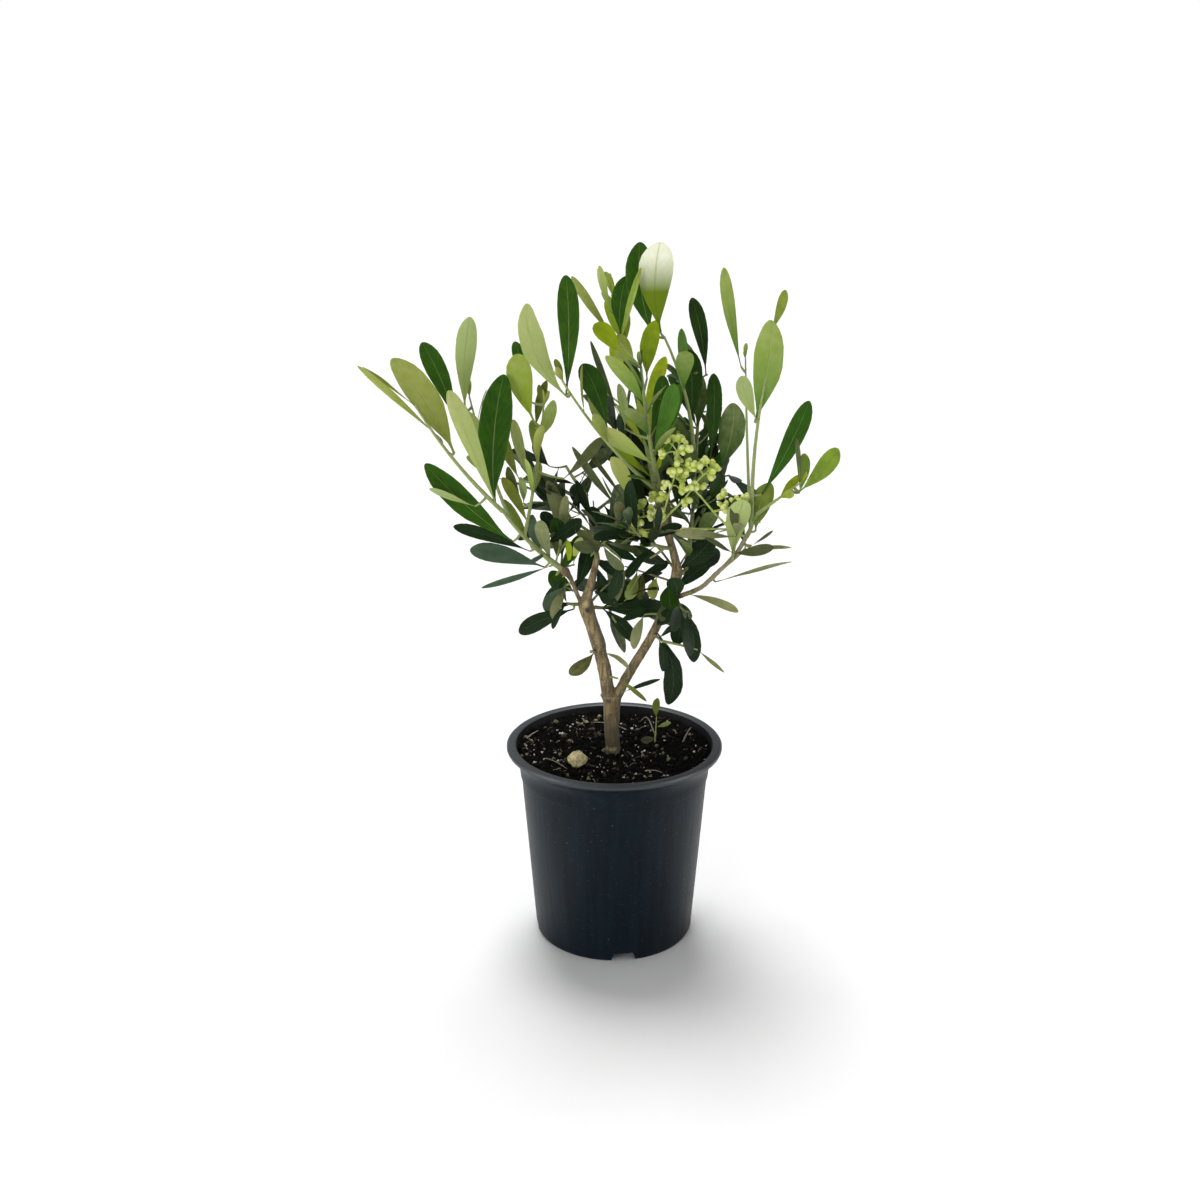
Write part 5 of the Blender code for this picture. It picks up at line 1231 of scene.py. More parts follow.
def pair_rows(row, dice):
    """Leaves in opposite pairs, each pair turned by `step`, shorter and more upright towards the
    tip, older leaves more spread and more bent."""
    for pair in range(row.pairs):
        rank = pair / max(row.pairs - 1, 1)
        share = row.first + (0.985 - row.first) * rank ** 0.92
        fall = max(rank - 0.5, 0.0) / 0.5
        length = row.leaf * (0.86 + 0.28 * min(rank, 0.5) - 0.42 * fall * (row.age < 0.5) - 0.2 * fall)
        splay = row.splay * (1 - rank) + min(row.splay, 22.0) * rank
        for half in (0, 180):
            size, ratio = length * dice.uniform(0.86, 1.1), dice.uniform(0.22, 0.29)
            yield Leaf(row.name, share, row.turn + row.step * pair + half + dice.uniform(-14, 14),
                       splay + dice.uniform(-8, 8), size, size * ratio, row.lift,
                       (8 + 26 * row.age) * dice.uniform(0.4, 1.2) - 6, dice.uniform(-38, 38), 0, row.shade)


def limb_point(name, height):
    """Centre and radius of a limb at a height; height 0 is its tip."""
    stations = LIMBS[name]
    if not height:
        return Vector(stations[-1][:3]), stations[-1][3]
    low, high = next(pair for pair in zip(stations, stations[1:]) if pair[0][2] <= height <= pair[1][2])
    share = (height - low[2]) / (high[2] - low[2])
    radii = [r[0] if isinstance(r, tuple) else r for r in (low[3], high[3])]
    return Vector(low[:3]).lerp(Vector(high[:3]), share), radii[0] + share * (radii[1] - radii[0])


def socket(mass):
    """Where a mass's stem leaves the middle of its limb, and where the solids have its start."""
    if mass.limb == "soil":
        start = Vector((*SEEDLING_PLACE, soil_level(math.hypot(*SEEDLING_PLACE)) + SOIL_UNEVEN + GAP))
        return start - UP * 2.0, start
    centre, radius = limb_point(mass.limb, mass.height)
    if not mass.height:
        axis = (centre - Vector(LIMBS[mass.limb][-2][:3])).normalized()
        return centre - axis * 3.0, centre + axis * GAP
    reach = radius * 1.15 + GAP + mass.shoots[0].girth * 0.9
    return centre, centre + heading(mass.side, 0) * reach


def fine_shoots(mass, dice):
    """Short side shoots on the older shoots of a mass."""
    for row in mass.shoots:
        if row.age < FINE_AGE or row.reach < FINE_REACH or row.pairs < 2:
            continue
        count = int(row.reach / FINE_SPACING)
        for k in range(count):
            side = 1 if k % 2 else -1
            yield Shoot(f"{row.name}_{k}", row.name, 0.25 + 0.6 * (k + 0.5) / count, dice.uniform(10, 17),
                        row.azimuth + side * dice.uniform(45, 100), dice.uniform(0, 50), -1.0, 0, 0.7, 0.4,
                        2, row.leaf * dice.uniform(0.62, 0.8), dice.uniform(0, 90), 90, 50, 0.05, row.age,
                        row.shade)


# %% Grow the crown
TWIG_STEPS, SPUR_STEPS, SPRIG_STEPS = 12, 4, 6
FINE_SEED = 100
FINE_WIDER = 1.25
LEAF_CLEARANCE = 0.8
SINGLE_NUDGES = (0, 14, -14, 30, -30)
FROND_NUDGES = (0, -10, 10, -20, 20, 32)
PAIR_NUDGES = (0, 16, -16, 34, -34, 55, -55)


def placed_leaf(path, leaf, nudge):
    """Base, heading and upper-face normal of one leaf. The upper face looks towards the shoot's
    tip; `view` 1 turns it to the front and -1 to the back instead."""
    share = min(leaf.at, 1 - ROOT_SUNK / path.chord.length)
    axis = path.axis(share)
    right, back = across(axis)
    angle, lean = math.radians(leaf.turn + nudge), math.radians(leaf.splay)
    outward = right * math.cos(angle) + back * math.sin(angle)
    way = (axis * math.cos(lean) + outward * math.sin(lean) + UP * leaf.lift).normalized()
    towards = UP * 0.4 - AWAY * leaf.view if leaf.view else axis + UP * 0.4
    face = (towards - way * towards.dot(way)).normalized()
    face.rotate(Matrix.Rotation(math.radians(leaf.twist), 3, way))
    return path.point(share), way, face


leaves = {"olive": [], "dark": [], "fresh": []}
branches, waiting = [], []


def clear_of_wood(base, way, length):
    """Whether the outer part of a leaf keeps clear of every limb."""
    spots = [base + way * length * share for share in (0.35, 0.55, 0.75, 0.95)]
    return not any((spot - centre).length < radius + LEAF_CLEARANCE for spot in spots
                   for centre, radius in limb_balls)


for mass in MASSES:
    dice, extra = random.Random(mass.seed), random.Random(mass.seed + FINE_SEED)
    root, start = socket(mass)
    shoots = list(mass.shoots) + (list(fine_shoots(mass, extra)) if mass.limb != "soil" else [])
    paths = {}
    for row in shoots:
        path = Path(paths[row.parent].point(row.at) if row.parent else start, row)
        paths[row.name] = path
        branches.append((path, paths.get(row.parent), root))
    rows = [leaf for row in mass.shoots for leaf in pair_rows(row, dice)]
    rows += [leaf._replace(width=leaf.width * FINE_WIDER)
             for row in shoots[len(mass.shoots):] for leaf in pair_rows(row, extra)]
    for row in shoots:
        if row.pairs > 1:
            rows += [Leaf(row.name, 1.0, turn, 14, row.leaf * 0.3, row.leaf * 0.07, 0, -8, 0, 0, row.shade)
                     for turn in (40, 220)]
    waiting += [(mass.tint, paths[leaf.shoot], leaf) for leaf in rows]
    for one in mass.singles:
        leaf = Leaf(*one[:6], 0, extra.uniform(-4, 14), extra.uniform(-12, 12), one.view, one.shade)
        for nudge in SINGLE_NUDGES:
            base, way, face = placed_leaf(paths[leaf.shoot], leaf, nudge)
            if clear_of_wood(base, way, leaf.length):
                leaves[mass.tint].append((leaf, base, way, face))
                paths[leaf.shoot].bears(leaf.at)
                break


def seen_from_front(clock, depth, view):
    """Heading and facing of a leaf described as it is seen from the front."""
    turn, lean = math.radians(clock), math.radians(depth)
    way = Vector((math.cos(turn) * math.cos(lean), math.sin(lean), math.sin(turn) * math.cos(lean)))
    towards = UP * 0.4 - AWAY * view if view else Vector((-way.z, 0.3, way.x))
    return way, (towards - way * towards.dot(way)).normalized()


twigs = []
wood_points = [(path.point(k / TWIG_STEPS), path, k / TWIG_STEPS)
               for path, parent, root in branches for k in range(1, TWIG_STEPS + 1)]
wood_points += [(centre, None, 0.0) for centre, radius in limb_balls]
lone_leaves = [(tint, Lone(*row)) for tint, rows in LONE_LEAVES.items() for row in rows]
for tint, lone in lone_leaves:
    base = Vector(lone.base)
    way, face = seen_from_front(lone.clock, lone.depth, lone.view)
    nearest, path, share = min(
        wood_points, key=lambda spot: (spot[0] - base).length + 0.5 * max((spot[0] - base).dot(way), 0.0))
    if path:
        path.bears(share)
    spur = []
    for k in range(SPUR_STEPS + 1):
        sag = way * 3 * k * (SPUR_STEPS - k) / SPUR_STEPS ** 2
        spur.append((nearest.lerp(base, k / SPUR_STEPS) - sag, 1.0 - 0.1 * k, 0.7))
    twigs.append(spur)
    row = Leaf("lone", 0, 0, 0, lone.length, lone.width, 0, 8, 0, lone.view, lone.shade, lone.curl)
    leaves[tint].append((row, base, way, face))
for sprig in SPRIGS:
    centre, radius = limb_point(sprig.limb, sprig.height)
    path = Path(centre, Shoot("sprig", "", 0, sprig.reach, sprig.azimuth, sprig.rise, sprig.bow,
                              *[0] * 10, ""))
    twigs.append([(path.point(k / SPRIG_STEPS), sprig.girth * (1 - 0.08 * k), 0.2)
                  for k in range(SPRIG_STEPS + 1)])
    for frond in sprig.fronds:
        for nudge in FROND_NUDGES:
            way, face = seen_from_front(frond.clock, frond.depth + nudge, frond.view)
            base = path.point(frond.at)
            if clear_of_wood(base, way, frond.length):
                row = Leaf("sprig", frond.at, 0, 0, frond.length, frond.width, 0, 12, 0, frond.view,
                           frond.shade)
                leaves[sprig.tint].append((row, base, way, face))
                break

# %% Leaves of the rule, where there is room
BLADE_ROOM = 1.0
LINE_STEPS = 10


def crosses(points, other):
    """Whether a line of points passes through the blade of another leaf."""
    leaf, base, way, face = other
    side = way.cross(face)
    last = None
    for point in points:
        part = point - base
        along, off, level = part.dot(way) / leaf.length, abs(part.dot(side)) / leaf.width, part.dot(face)
        inside = 0.1 < along < 0.97 and off < 0.45
        if inside and (abs(level) < BLADE_ROOM or (last is not None and last * level < 0)):
            return True
        last = level if inside else None
    return False


def in_sky_gap(points):
    """Whether a line of points shows in one of the gaps, from where the camera stands."""
    eye = Vector(CAMERA_PLACE) / MM
    for point in points:
        seen = eye + (point - eye) * (eye.y / (eye.y - point.y))
        for x, z, wide, high in SKY_GAPS:
            if ((seen.x - x) / wide) ** 2 + ((seen.z - z) / high) ** 2 < 1:
                return True
    return False


listed = [other for rows in leaves.values() for other in rows]
dropped = 0
for tint, path, leaf in waiting:
    for nudge in PAIR_NUDGES:
        base, way, face = placed_leaf(path, leaf, nudge)
        half = way.cross(face) * leaf.width * 0.4
        lines = [[base + half * hand + way * leaf.length * k / LINE_STEPS for k in range(2, LINE_STEPS + 1)]
                 for hand in (0, -1, 1)]
        if (clear_of_wood(base, way, leaf.length) and not in_sky_gap(lines[0])
                and not any(crosses(line, front) for line in lines for front in listed)):
            leaves[tint].append((leaf, base, way, face))
            path.bears(leaf.at)
            break
    else:
        dropped += 1
print("leaves with no room:", dropped)
for path, parent, root in reversed(branches):
    if not path.length:
        continue
    if parent:
        parent.bears(path.row.at)
    row, green = path.row, 1.0 - 0.75 * path.row.age
    line = [] if parent else [(root, row.girth * 1.15, green)]
    for k in range(TWIG_STEPS + 1):
        t = path.length * k / TWIG_STEPS
        line.append((path.point(t), row.girth * (1.05 - 0.6 * t), green + 0.3 * t))
    twigs.append(line)
print("twigs:", len(twigs), "leaves:", {tint: len(rows) for tint, rows in leaves.items()})

# %% [markdown]
# ## Flowering stalks
#
# Olive flowers open in loose panicles from the joints of last year's wood: a thin stalk, short
# branchlets, and a knot of beads at the end of each. The few panicles of this plant stand in
# front of the crown, so their stalks and knots are listed by place, in millimetres.

# %% Panicles
FLOWER_STALKS = (
    ((29.6, 3.2, 291), (29, -8, 286), (28, -16, 285), (32, -16, 300), (36, -16, 314), (38, -16, 330)),
    ((28, -16, 285), (35, -16, 293), (42, -16, 300), (51, -16, 313), (57, -16, 319)),
    ((28, -16, 285), (23, -16, 291), (15, -16, 289)),
    ((80, -24, 279), (73, -16, 280), (62, -16, 291), (52, -16, 303), (45, -16, 310)),
    ((61, -16, 293), (69, -16, 295), (79, -16, 297)),
)
# Knots of buds: centre and radius
FLOWER_KNOTS = (
    (32, -15, 337, 3.6), (39, -15, 337, 3.6), (42, -21, 333, 3.6), (38, -12, 326, 3.6), (30, -18, 330, 3.0),
    (36, -21, 321, 3.6), (43, -18, 322, 3.6), (49, -21, 322, 3.6), (55, -15, 323, 3.6), (60, -12, 319, 3.0),
    (57, -18, 316, 2.4), (40, -12, 313, 3.6), (32, -21, 311, 3.0), (40, -18, 308, 3.0), (46, -21, 310, 3.0),
    (52, -18, 308, 2.4), (25, -12, 301, 3.6), (31, -15, 302, 3.6), (43, -18, 301, 2.0), (17, -12, 295, 3.0),
    (22, -18, 292, 3.6), (29, -21, 295, 2.4), (14, -18, 288, 3.6), (13, -12, 280, 3.6), (19, -18, 280, 2.4),
    (67, -18, 303, 2.4), (67, -21, 297, 3.0), (74, -21, 300, 3.0), (79, -18, 300, 3.6), (82, -18, 295, 3.0),
)
STALK_RADIUS = 0.8
KNOT_HANG = 2.0
stalks = [[(Vector(point), STALK_RADIUS * (1 - 0.08 * k), 1.0) for k, point in enumerate(line)]
          for line in FLOWER_STALKS]
stalk_points = [a.lerp(b, k / 6) for line in stalks for (a, *_), (b, *_) in zip(line, line[1:])
                for k in range(7)]
knots = []
for *place, radius in FLOWER_KNOTS:
    centre = Vector(place)
    joint = min((point for point in stalk_points if point.z < centre.z + KNOT_HANG),
                key=lambda point: (point - centre).length)
    way = (centre - joint).normalized()
    elbow = joint.lerp(centre, 0.5) + UP * 0.8
    stalks.append([(joint, 0.5, 1.0), (elbow, 0.45, 1.0), (centre - way * radius * 0.5, 0.4, 1.0)])
    knots.append((centre, way, radius))
print("panicles:", len(FLOWER_STALKS), "stalks,", len(knots), "knots")

# %% [markdown]
# ## Twigs
#
# This year's growth is pale green; last year's is already grey-brown. One finish runs from one
# to the other by the shade stored along each chain.

# %% Twigs and stalks
twig_finish, tree, shader = surface("green_twig_bark", IOR=1.45, Roughness=0.6)
age = add(tree, "ShaderNodeAttribute", {"attribute_name": "shade"}).outputs["Fac"]
grown_colour = mix(tree, add(tree, "ShaderNodeClamp", {}, Value=age).outputs[0], "#6c6344", "#98a862")
mottled = mix(tree, weighted(tree, grain(tree, 1.5), 0.35), grown_colour, "#5f6a35")
tree.links.new(mottled, shader.inputs["Base Color"])
bump(tree, shader, grain(tree, 0.7, (1, 1, 0.3)), 0.06)
done(chains("leafy_twigs", twigs, 7, twig_finish), "bark")
stalk_finish, tree, shader = surface("flower_stalk", IOR=1.45, Roughness=0.55)
tree.links.new(mix(tree, grain(tree, 2.0), "#a3b552", "#c3d07a"), shader.inputs["Base Color"])

# %% [markdown]
# ## Leaf blades
#
# An olive leaf is a leathery blade three to six times as long as it is wide, widest at or past
# its middle, on a short stalk: dark, waxy and smooth above, and felted with silvery scales below.
# One blade is a closed thin body with a sharp margin, so that the upper skin and the
# underside are two different finishes and nothing is see-through. Two dozen blades with
# different bends and sways are enough, because every leaf also has its own turn, size and colour.

# %% Blade shapes
BLADE_STATIONS = (0.0, 0.055, 0.11, 0.2, 0.31, 0.43, 0.55, 0.66, 0.76, 0.85, 0.92, 0.965, 0.99)
BLADE_ACROSS = ((-1.0, 0.0), (-0.5, 1.0), (0.0, 1.0), (0.5, 1.0), (1.0, 0.0), (0.0, -1.0))
BLADE_WIDTH = 0.22
BLADE_THICKNESS = 0.006
BLADE_FOLD = 0.3
PETIOLE = 0.05
BLADE_BENDS = (-8, 0, 7, 14, 22, 32)
# Sways in degrees, and where along the blade each one is widest
BLADE_SWAYS = (-24, -8, 7, 24)
BLADE_LATES = (0.66, 0.58, 0.7, 0.62)


def unwrapped(name, verts, faces, uvs):
    """A smooth mesh with a UV map, from one place in the map for each point."""
    mesh = bpy.data.meshes.new(name)
    mesh.from_pydata(verts, [], faces)
    mesh.shade_smooth()
    layer = mesh.uv_layers.new(name="form")
    for loop in mesh.loops:
        layer.data[loop.index].uv = uvs[loop.vertex_index]
    return mesh


def blade_half(share, late):
    """Half width of a blade, as a share of its greatest, along its length: it widens evenly up
    to `late` and closes in a round tip."""
    x = max(share - PETIOLE, 0.0) / (1 - PETIOLE)
    if x < late:
        return max(math.sin(math.pi / 2 * x / late) ** 1.15, 0.085 if x < 0.5 else 0.02)
    return max((1 - ((x - late) / (1 - late)) ** 2.2) ** 0.6, 0.02)


def blade(name, bend, sway, ripple, late):
    """A blade one unit long and wide: width runs along X, the midrib along Y, the upper side is +Z."""
    curve, swing = math.radians(bend) or 0.001, math.radians(sway)
    verts, uvs = [], []
    for share in BLADE_STATIONS:
        half = blade_half(share, late) * 0.5
        for u, level in BLADE_ACROSS:
            fold = BLADE_FOLD * BLADE_WIDTH * (abs(u) - 0.35 * abs(u) ** 3) * half
            wave = ripple * 0.016 * math.sin(share * 9.0 + (2.0 if u > 0 else 0.0)) * abs(u) * (half > 0.1)
            uneven = 1 + 0.07 * ripple * math.sin(share * 17.0 + (2.4 if u > 0 else 0.0))
            thick = level * BLADE_THICKNESS / 2 * (1.6 if u == 0 else 1.0) * (2.0 if share < 0.1 else 1.0)
            arc = curve * share
            out, down = math.sin(arc) / curve, -(1 - math.cos(arc)) / curve
            rise = fold + wave + thick
            aside = u * half * uneven + swing * share * (1 - share) / BLADE_WIDTH
            verts.append((aside, out + rise * math.sin(arc), down + rise * math.cos(arc)))
            uvs.append(((u + 1) / 2, share))
    tip = len(verts)
    verts.append((0.0, math.sin(curve) / curve, -(1 - math.cos(curve)) / curve))
    uvs.append((0.5, 1.0))
    wide = len(BLADE_ACROSS)
    last = tip - wide
    faces = [(b, a, d, c) for a, b, c, d in tube_faces(len(BLADE_STATIONS), wide)]
    faces += [(last + (k + 1) % wide, last + k, tip) for k in range(wide)]
    faces.append(tuple(range(wide)))
    under = [k % wide >= wide - 2 for k in range(tip)] + [True]
    mesh = unwrapped(name, verts, faces, uvs)
    mesh.attributes.new("underside", "BOOLEAN", "FACE").data.foreach_set("value", under)
    for edge in mesh.edges:
        first, second = (BLADE_ACROSS[v % wide][1] if v < tip else 0.0 for v in edge.vertices)
        edge.use_edge_sharp = first == 0.0 and second == 0.0
    return bpy.data.objects.new(name, mesh)


blades = bpy.data.collections.new("blades")
for index, bend in enumerate(BLADE_BENDS):
    for hand, (sway, late) in enumerate(zip(BLADE_SWAYS, BLADE_LATES)):
        name = f"blade_{len(BLADE_SWAYS) * index + hand:02d}"
        blades.objects.link(blade(name, bend, sway, 1.0 - 0.6 * hand, late))

# %% [markdown]
# Leaf colours are plain base colours, above and below: a shoot or a single leaf names one, and
# every leaf shifts it a little. Most are named for how the leaf grew; "shade" is painted shade, a
# near-black green for leaves inside the crown. A blade's own UV map then draws the paler midrib,
# the faint side veins and the margin, so the pattern follows each leaf. Towards its foot an
# underside is blended, darker and greener, towards the colour of its upper skin. On the pale top
# leaf, "white", the blend runs far up the blade as painted shade on its lower half, and its
# near-white underside is partly pale felt and partly painted highlight.

# %% Leaf finishes
# "shade" is painted shade for leaves inside the crown; the pale underside of "white" is partly painted
# highlight
SHADES = {
    "shade": ("#1a3015", "#4c5a42"), "deep": ("#26480a", "#607240"), "mature": ("#36620f", "#7f9050"),
    "mid": ("#558328", "#869a48"), "olive": ("#7a8734", "#9aa852"), "grey": ("#5e6840", "#7d8159"),
    "fresh": ("#95ab12", "#a0ae46"), "pale": ("#92aa48", "#a6b266"), "silver": ("#8ea35a", "#a9b670"),
    "white": ("#6f851a", "#dfeadb"), "brown": ("#46481f", "#4a4a22"), "dusky": ("#4b5f48", "#56654c"),
    "lime": ("#7b9530", "#9aa852"),
}
# How far an underside blends towards its upper skin's colour at the foot, and where that is more: on "white"
# it is painted shade over the lower half
FOOT_BLEND, FOOT_BLENDS = 0.7, {"white": 1.6}
VEIN_SLANT = 0.55


def drawn_from_blade(tree, rib_width, vein_count=9.0):
    """(midrib, veins, margin, length), each 0 to 1, from a blade's own coordinates."""
    place = add(tree, "ShaderNodeUVMap", {"uv_map": "form"}).outputs[0]
    apart = add(tree, "ShaderNodeSeparateXYZ", {}, Vector=place).outputs
    centred = add(tree, "ShaderNodeMath", {"operation": "SUBTRACT", 1: 0.5}, s0=apart["X"]).outputs[0]
    off = add(tree, "ShaderNodeMath", {"operation": "ABSOLUTE"}, s0=centred).outputs[0]
    width = add(tree, "ShaderNodeMapRange", {"To Min": rib_width, "To Max": rib_width * 0.3},
                Value=apart["Y"]).outputs[0]
    share = add(tree, "ShaderNodeMath", {"operation": "DIVIDE"}, s0=off, s1=width).outputs[0]
    rib = add(tree, "ShaderNodeMapRange",
              {"From Min": 1.0, "From Max": 0.4, "interpolation_type": "SMOOTHSTEP"}, Value=share).outputs[0]
    run = add(tree, "ShaderNodeMath", {"operation": "SUBTRACT"}, s0=apart["Y"],
              s1=weighted(tree, off, VEIN_SLANT)).outputs[0]
    crest = add(tree, "ShaderNodeMath", {"operation": "SINE"},
                s0=weighted(tree, run, vein_count * math.tau)).outputs[0]
    veins = add(tree, "ShaderNodeMapRange", {"From Min": 0.75, "From Max": 1.0}, Value=crest).outputs[0]
    margin = add(tree, "ShaderNodeMapRange", {"From Min": 0.44, "From Max": 0.5}, Value=off).outputs[0]
    return rib, veins, margin, apart["Y"]


waxy, tree, shader = surface("waxy_leaf_upper", IOR=1.46, Specular_IOR_Level=0.14)
rib, veins, margin, length = drawn_from_blade(tree, 0.045)
colour = add(tree, "ShaderNodeAttribute", {"attribute_name": "upper_colour"}).outputs["Color"]
blotched = mix(tree, weighted(tree, grain(tree, 7.0, detail=4.0), 0.3), colour, "#4a6a2c", "MULTIPLY")
veined = mix(tree, weighted(tree, veins, 0.03), blotched, "#b4c886")
felt = add(tree, "ShaderNodeAttribute", {"attribute_name": "under_colour"}).outputs["Color"]
ribbed = mix(tree, weighted(tree, rib, 0.5), veined, felt)
edged = mix(tree, weighted(tree, margin, 0.2), ribbed, felt)
tree.links.new(edged, shader.inputs["Base Color"])
rough = add(tree, "ShaderNodeMapRange", {"To Min": 0.4, "To Max": 0.52}, Value=grain(tree, 3.0)).outputs[0]
tree.links.new(rough, shader.inputs["Roughness"])
sunk = add(tree, "ShaderNodeMath", {"operation": "SUBTRACT", 0: 1.0}, s1=rib).outputs[0]
bump(tree, shader, sunk, 0.2, bump(tree, shader, grain(tree, 0.6), 0.02))

felted, tree, shader = surface("felted_leaf_underside", IOR=1.42, Roughness=0.72, Specular_IOR_Level=0.1)
rib, veins, margin, length = drawn_from_blade(tree, 0.06)
colour = add(tree, "ShaderNodeAttribute", {"attribute_name": "under_colour"}).outputs["Color"]
blotched = mix(tree, weighted(tree, grain(tree, 5.0, detail=4.0), 0.15), colour, "#ccd49c")
veined = mix(tree, weighted(tree, veins, 0.05), blotched, "#66743f")
ribbed = mix(tree, weighted(tree, rib, 0.4), veined, "#b6c47c")
# Darker and greener towards the foot; on the white leaf this is painted shade.
foot = add(tree, "ShaderNodeMapRange", {"From Min": 0.85, "From Max": 0.2}, Value=length).outputs[0]
share = add(tree, "ShaderNodeAttribute", {"attribute_name": "bare_share"}).outputs["Fac"]
foot_mix = add(tree, "ShaderNodeMath", {"operation": "MULTIPLY", "use_clamp": True}, s0=foot, s1=share).outputs[0]
skin = add(tree, "ShaderNodeAttribute", {"attribute_name": "upper_colour"}).outputs["Color"]
tree.links.new(mix(tree, foot_mix, ribbed, skin), shader.inputs["Base Color"])
bump(tree, shader, rib, 0.25, bump(tree, shader, grain(tree, 0.5), 0.03))

# %% [markdown]
# ## Leaves by Geometry Nodes
#
# Each leaf is one point that carries its heading, the way its upper face looks, its size, its
# blade and its two colours. The tree turns a blade to the point's axes, scales it, makes all
# the copies real and gives the underside its own finish. A loop of duplicate-and-join
# would do the same far more slowly.

# %% Leaf tree
foliage, given, out = nodes_tree("foliage", Blades="Collection", Upper="Material", Under="Material")
carried = {}
for name, kind in (("heading", "FLOAT_VECTOR"), ("facing", "FLOAT_VECTOR"), ("size", "FLOAT_VECTOR"),
                   ("blade_index", "INT"), ("underside", "BOOLEAN")):
    read = add(foliage, "GeometryNodeInputNamedAttribute", {"data_type": kind, "Name": name})
    carried[name] = read.outputs[0]
turned_to = add(foliage, "FunctionNodeAxesToRotation", {"primary_axis": "Y", "secondary_axis": "Z"},
                Primary_Axis=carried["heading"], Secondary_Axis=carried["facing"]).outputs[0]
set_out = copies(foliage, given["Geometry"], given["Blades"], Instance_Index=carried["blade_index"],
                 Rotation=turned_to, Scale=carried["size"])
real = add(foliage, "GeometryNodeRealizeInstances", {}, Geometry=set_out)
above = add(foliage, "GeometryNodeSetMaterial", {}, Geometry=real.outputs[0], Material=given["Upper"])
below = add(foliage, "GeometryNodeSetMaterial", {}, Geometry=above.outputs[0], Selection=carried["underside"],
            Material=given["Under"])
foliage.links.new(below.outputs[0], out.inputs[0])

# Which sway a leaf's curl asks for; without a curl it is one of the two slight ones
CURLS = {-2: 0, -1: 1, 1: 2, 2: 3}


def tinted(hex_colour, dice):
    """A base colour with a little more or less light, and a little more yellow or blue."""
    light, warm = dice.uniform(0.82, 1.2), dice.uniform(-0.08, 0.1)
    red, green, blue, alpha = linear(hex_colour)
    return (red * light * (1 + warm), green * light, blue * light * (1 - warm), alpha)


def leaf_piece(name, rows, seed):
    """One mesh of all the leaves in a list of (leaf, base, heading, facing)."""
    dice = random.Random(seed)
    mesh = bpy.data.meshes.new(name)
    mesh.from_pydata([base * MM for leaf, base, way, face in rows], [], [])
    axes = {"heading": [], "facing": [], "size": []}
    colours = {"upper_colour": [], "under_colour": []}
    indices, foot_mix = [], []
    for leaf, base, way, face in rows:
        nearest = min(range(len(BLADE_BENDS)), key=lambda k: abs(BLADE_BENDS[k] - leaf.bend))
        axes["heading"] += way[:]
        axes["facing"] += face[:]
        axes["size"] += [leaf.width * MM, leaf.length * MM, leaf.length * MM]
        slight = 1 + dice.randrange(2)
        indices.append(len(BLADE_SWAYS) * nearest + CURLS.get(leaf.curl, slight))
        for key, hex_colour in zip(colours, SHADES[leaf.shade]):
            colours[key] += tinted(hex_colour, dice)
        foot_mix.append(FOOT_BLENDS.get(leaf.shade, FOOT_BLEND))
    store(mesh, "FLOAT_VECTOR", **axes)
    store(mesh, "FLOAT_COLOR", **colours)
    store(mesh, "INT", blade_index=indices)
    store(mesh, "FLOAT", bare_share=foot_mix)
    return grown(shown(name, mesh), foliage, blades=blades, upper=waxy, under=felted)


# %% Leaves
LEAF_SEED = 40
for index, (tint, rows) in enumerate(leaves.items()):
    piece = leaf_piece(f"{tint}_leaf_blades", rows, LEAF_SEED + index)
    done(piece, f"{tint}_leaves", *[mass.name for mass in MASSES if mass.tint == tint])

# %% [markdown]
# ## Flower buds
#
# Before it opens, an olive flower is a bead three to four millimetres across, pale green with
# a whitish tip, and they stand in little knots on branching stalks. Each knot listed above is
# dealt out here as several beads, each on its own short stalk.

# %% Buds
BUD_SIZE = 4.9
BUDS_PER_RADIUS = 1.7
BUD_SEED = 77
bead, tree, shader = surface("olive_flower_bud", IOR=1.43, Roughness=0.5)
place = add(tree, "ShaderNodeUVMap", {"uv_map": "form"}).outputs[0]
along_bud = add(tree, "ShaderNodeSeparateXYZ", {}, Vector=place).outputs["Y"]
green = mix(tree, grain(tree, 1.2), "#b9ca42", "#d3de74")
tip_white = add(tree, "ShaderNodeMapRange", {"From Min": 0.6, "From Max": 0.95, "To Max": 0.5},
                Value=along_bud)
tree.links.new(mix(tree, tip_white.outputs[0], green, "#eef0b8"), shader.inputs["Base Color"])
bump(tree, shader, grain(tree, 0.6), 0.04)


def bud_bead(name):
    """A bead of one unit: a narrow calyx below, four shallow lobes above."""
    around, levels = 8, ((0.0, 0.12), (0.12, 0.27), (0.32, 0.37), (0.56, 0.4), (0.76, 0.34), (0.92, 0.2))
    verts, uvs = [], []
    for height, radius in levels:
        for k in range(around):
            angle = math.tau * k / around
            lobed = radius * (1 - 0.09 * (k % 2) * (height > 0.4))
            verts.append((lobed * math.cos(angle), lobed * math.sin(angle), height))
            uvs.append((k / around, height))
    verts.append((0, 0, 0.97))
    uvs.append((0.5, 1.0))
    top = (len(levels) - 1) * around
    faces = tube_faces(len(levels), around)
    faces += [(top + k, top + (k + 1) % around, len(verts) - 1) for k in range(around)]
    faces.append(tuple(reversed(range(around))))
    return bpy.data.objects.new(name, unwrapped(name, verts, faces, uvs))


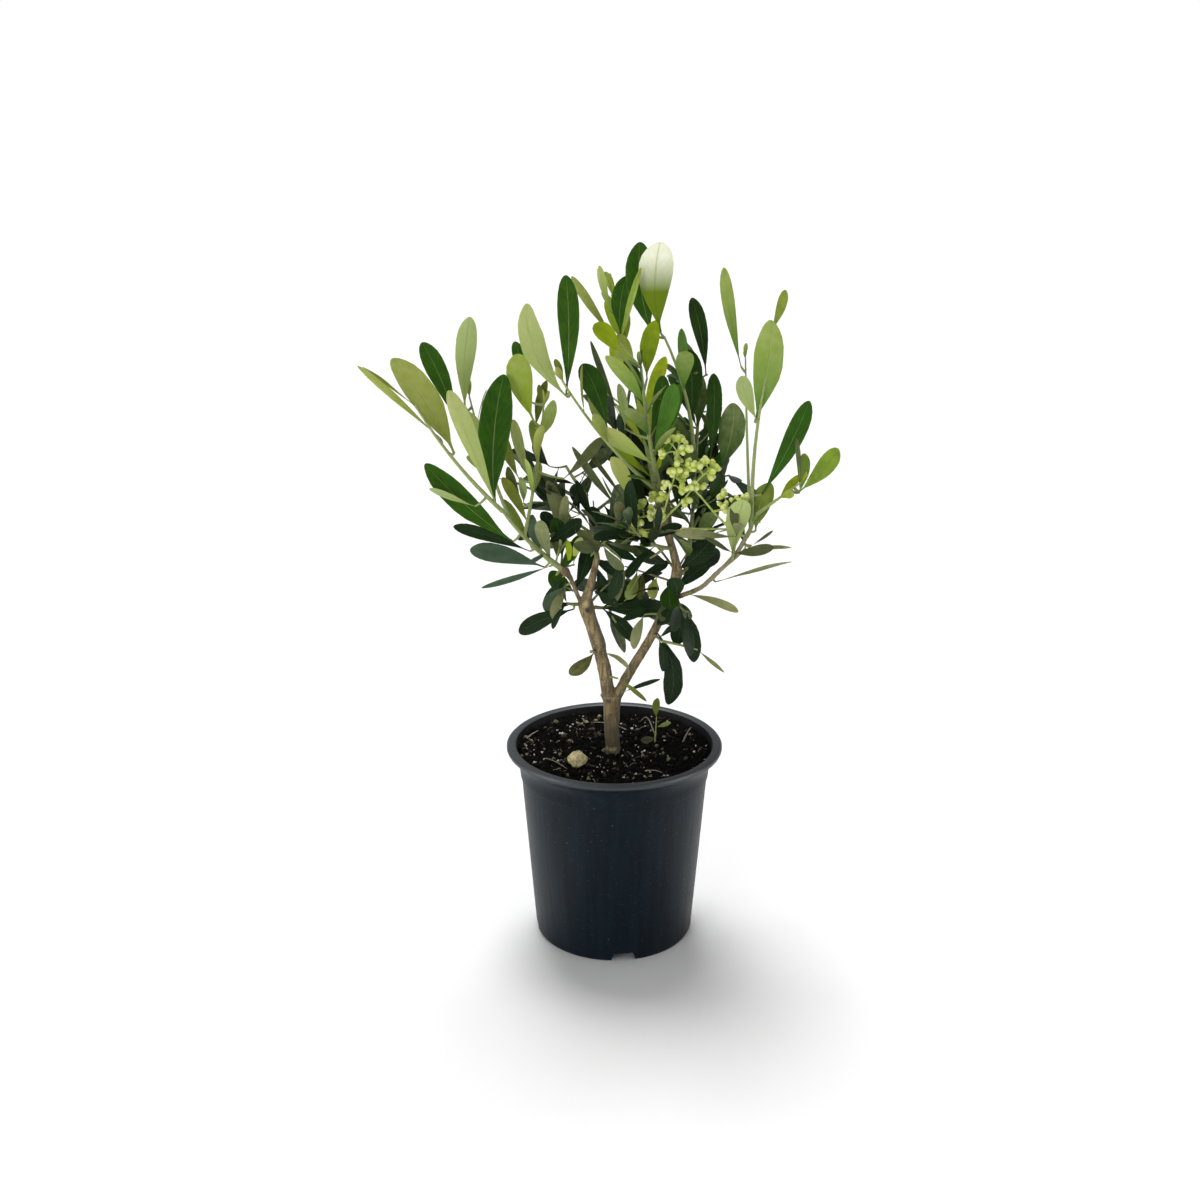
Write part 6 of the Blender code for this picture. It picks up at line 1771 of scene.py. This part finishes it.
buds, given, out = nodes_tree("buds", Beads="Collection", Material="Material")
carried = {}
for name, kind in (("heading", "FLOAT_VECTOR"), ("facing", "FLOAT_VECTOR"), ("size", "FLOAT")):
    read = add(buds, "GeometryNodeInputNamedAttribute", {"data_type": kind, "Name": name})
    carried[name] = read.outputs[0]
turned_to = add(buds, "FunctionNodeAxesToRotation", {"primary_axis": "Z", "secondary_axis": "X"},
                Primary_Axis=carried["heading"], Secondary_Axis=carried["facing"]).outputs[0]
set_out = copies(buds, given["Geometry"], given["Beads"], Rotation=turned_to, Scale=carried["size"])
real = add(buds, "GeometryNodeRealizeInstances", {}, Geometry=set_out)
coloured = add(buds, "GeometryNodeSetMaterial", {}, Geometry=real.outputs[0], Material=given["Material"])
buds.links.new(coloured.outputs[0], out.inputs[0])

# %% Beads of every knot
dice = random.Random(BUD_SEED)
centres, ways, sides, sizes = [], [], [], []
for centre, way, radius in knots:
    right, back = across(way)
    hub = centre - way * radius * 0.5
    count = round(radius * BUDS_PER_RADIUS)
    for k in range(count):
        angle = math.tau * k / count + dice.uniform(-0.4, 0.4)
        lean = 0.2 + 0.6 * (k % 3) + dice.uniform(-0.15, 0.15)
        out_way = (way + (right * math.cos(angle) + back * math.sin(angle)) * lean).normalized()
        foot = hub + out_way * radius * dice.uniform(0.3, 0.75)
        stalks.append([(hub, 0.34, 1.0), (foot + out_way * 0.4, 0.3, 1.0)])
        centres.append(foot * MM)
        ways += out_way[:]
        sides += right[:]
        sizes.append(BUD_SIZE * dice.uniform(0.8, 1.12) * MM)
mesh = bpy.data.meshes.new("flower_buds")
mesh.from_pydata(centres, [], [])
store(mesh, "FLOAT_VECTOR", heading=ways, facing=sides)
store(mesh, "FLOAT", size=sizes)
beads = bpy.data.collections.new("beads")
beads.objects.link(bud_bead("bead_00"))
bud_piece = grown(shown(mesh.name, mesh), buds, beads=beads, material=bead)
done(bud_piece, "fresh_leaves")
done(chains("flower_stalks", stalks, 6, stalk_finish), "fresh_leaves")
for group in (blades, beads):
    put_away(group)
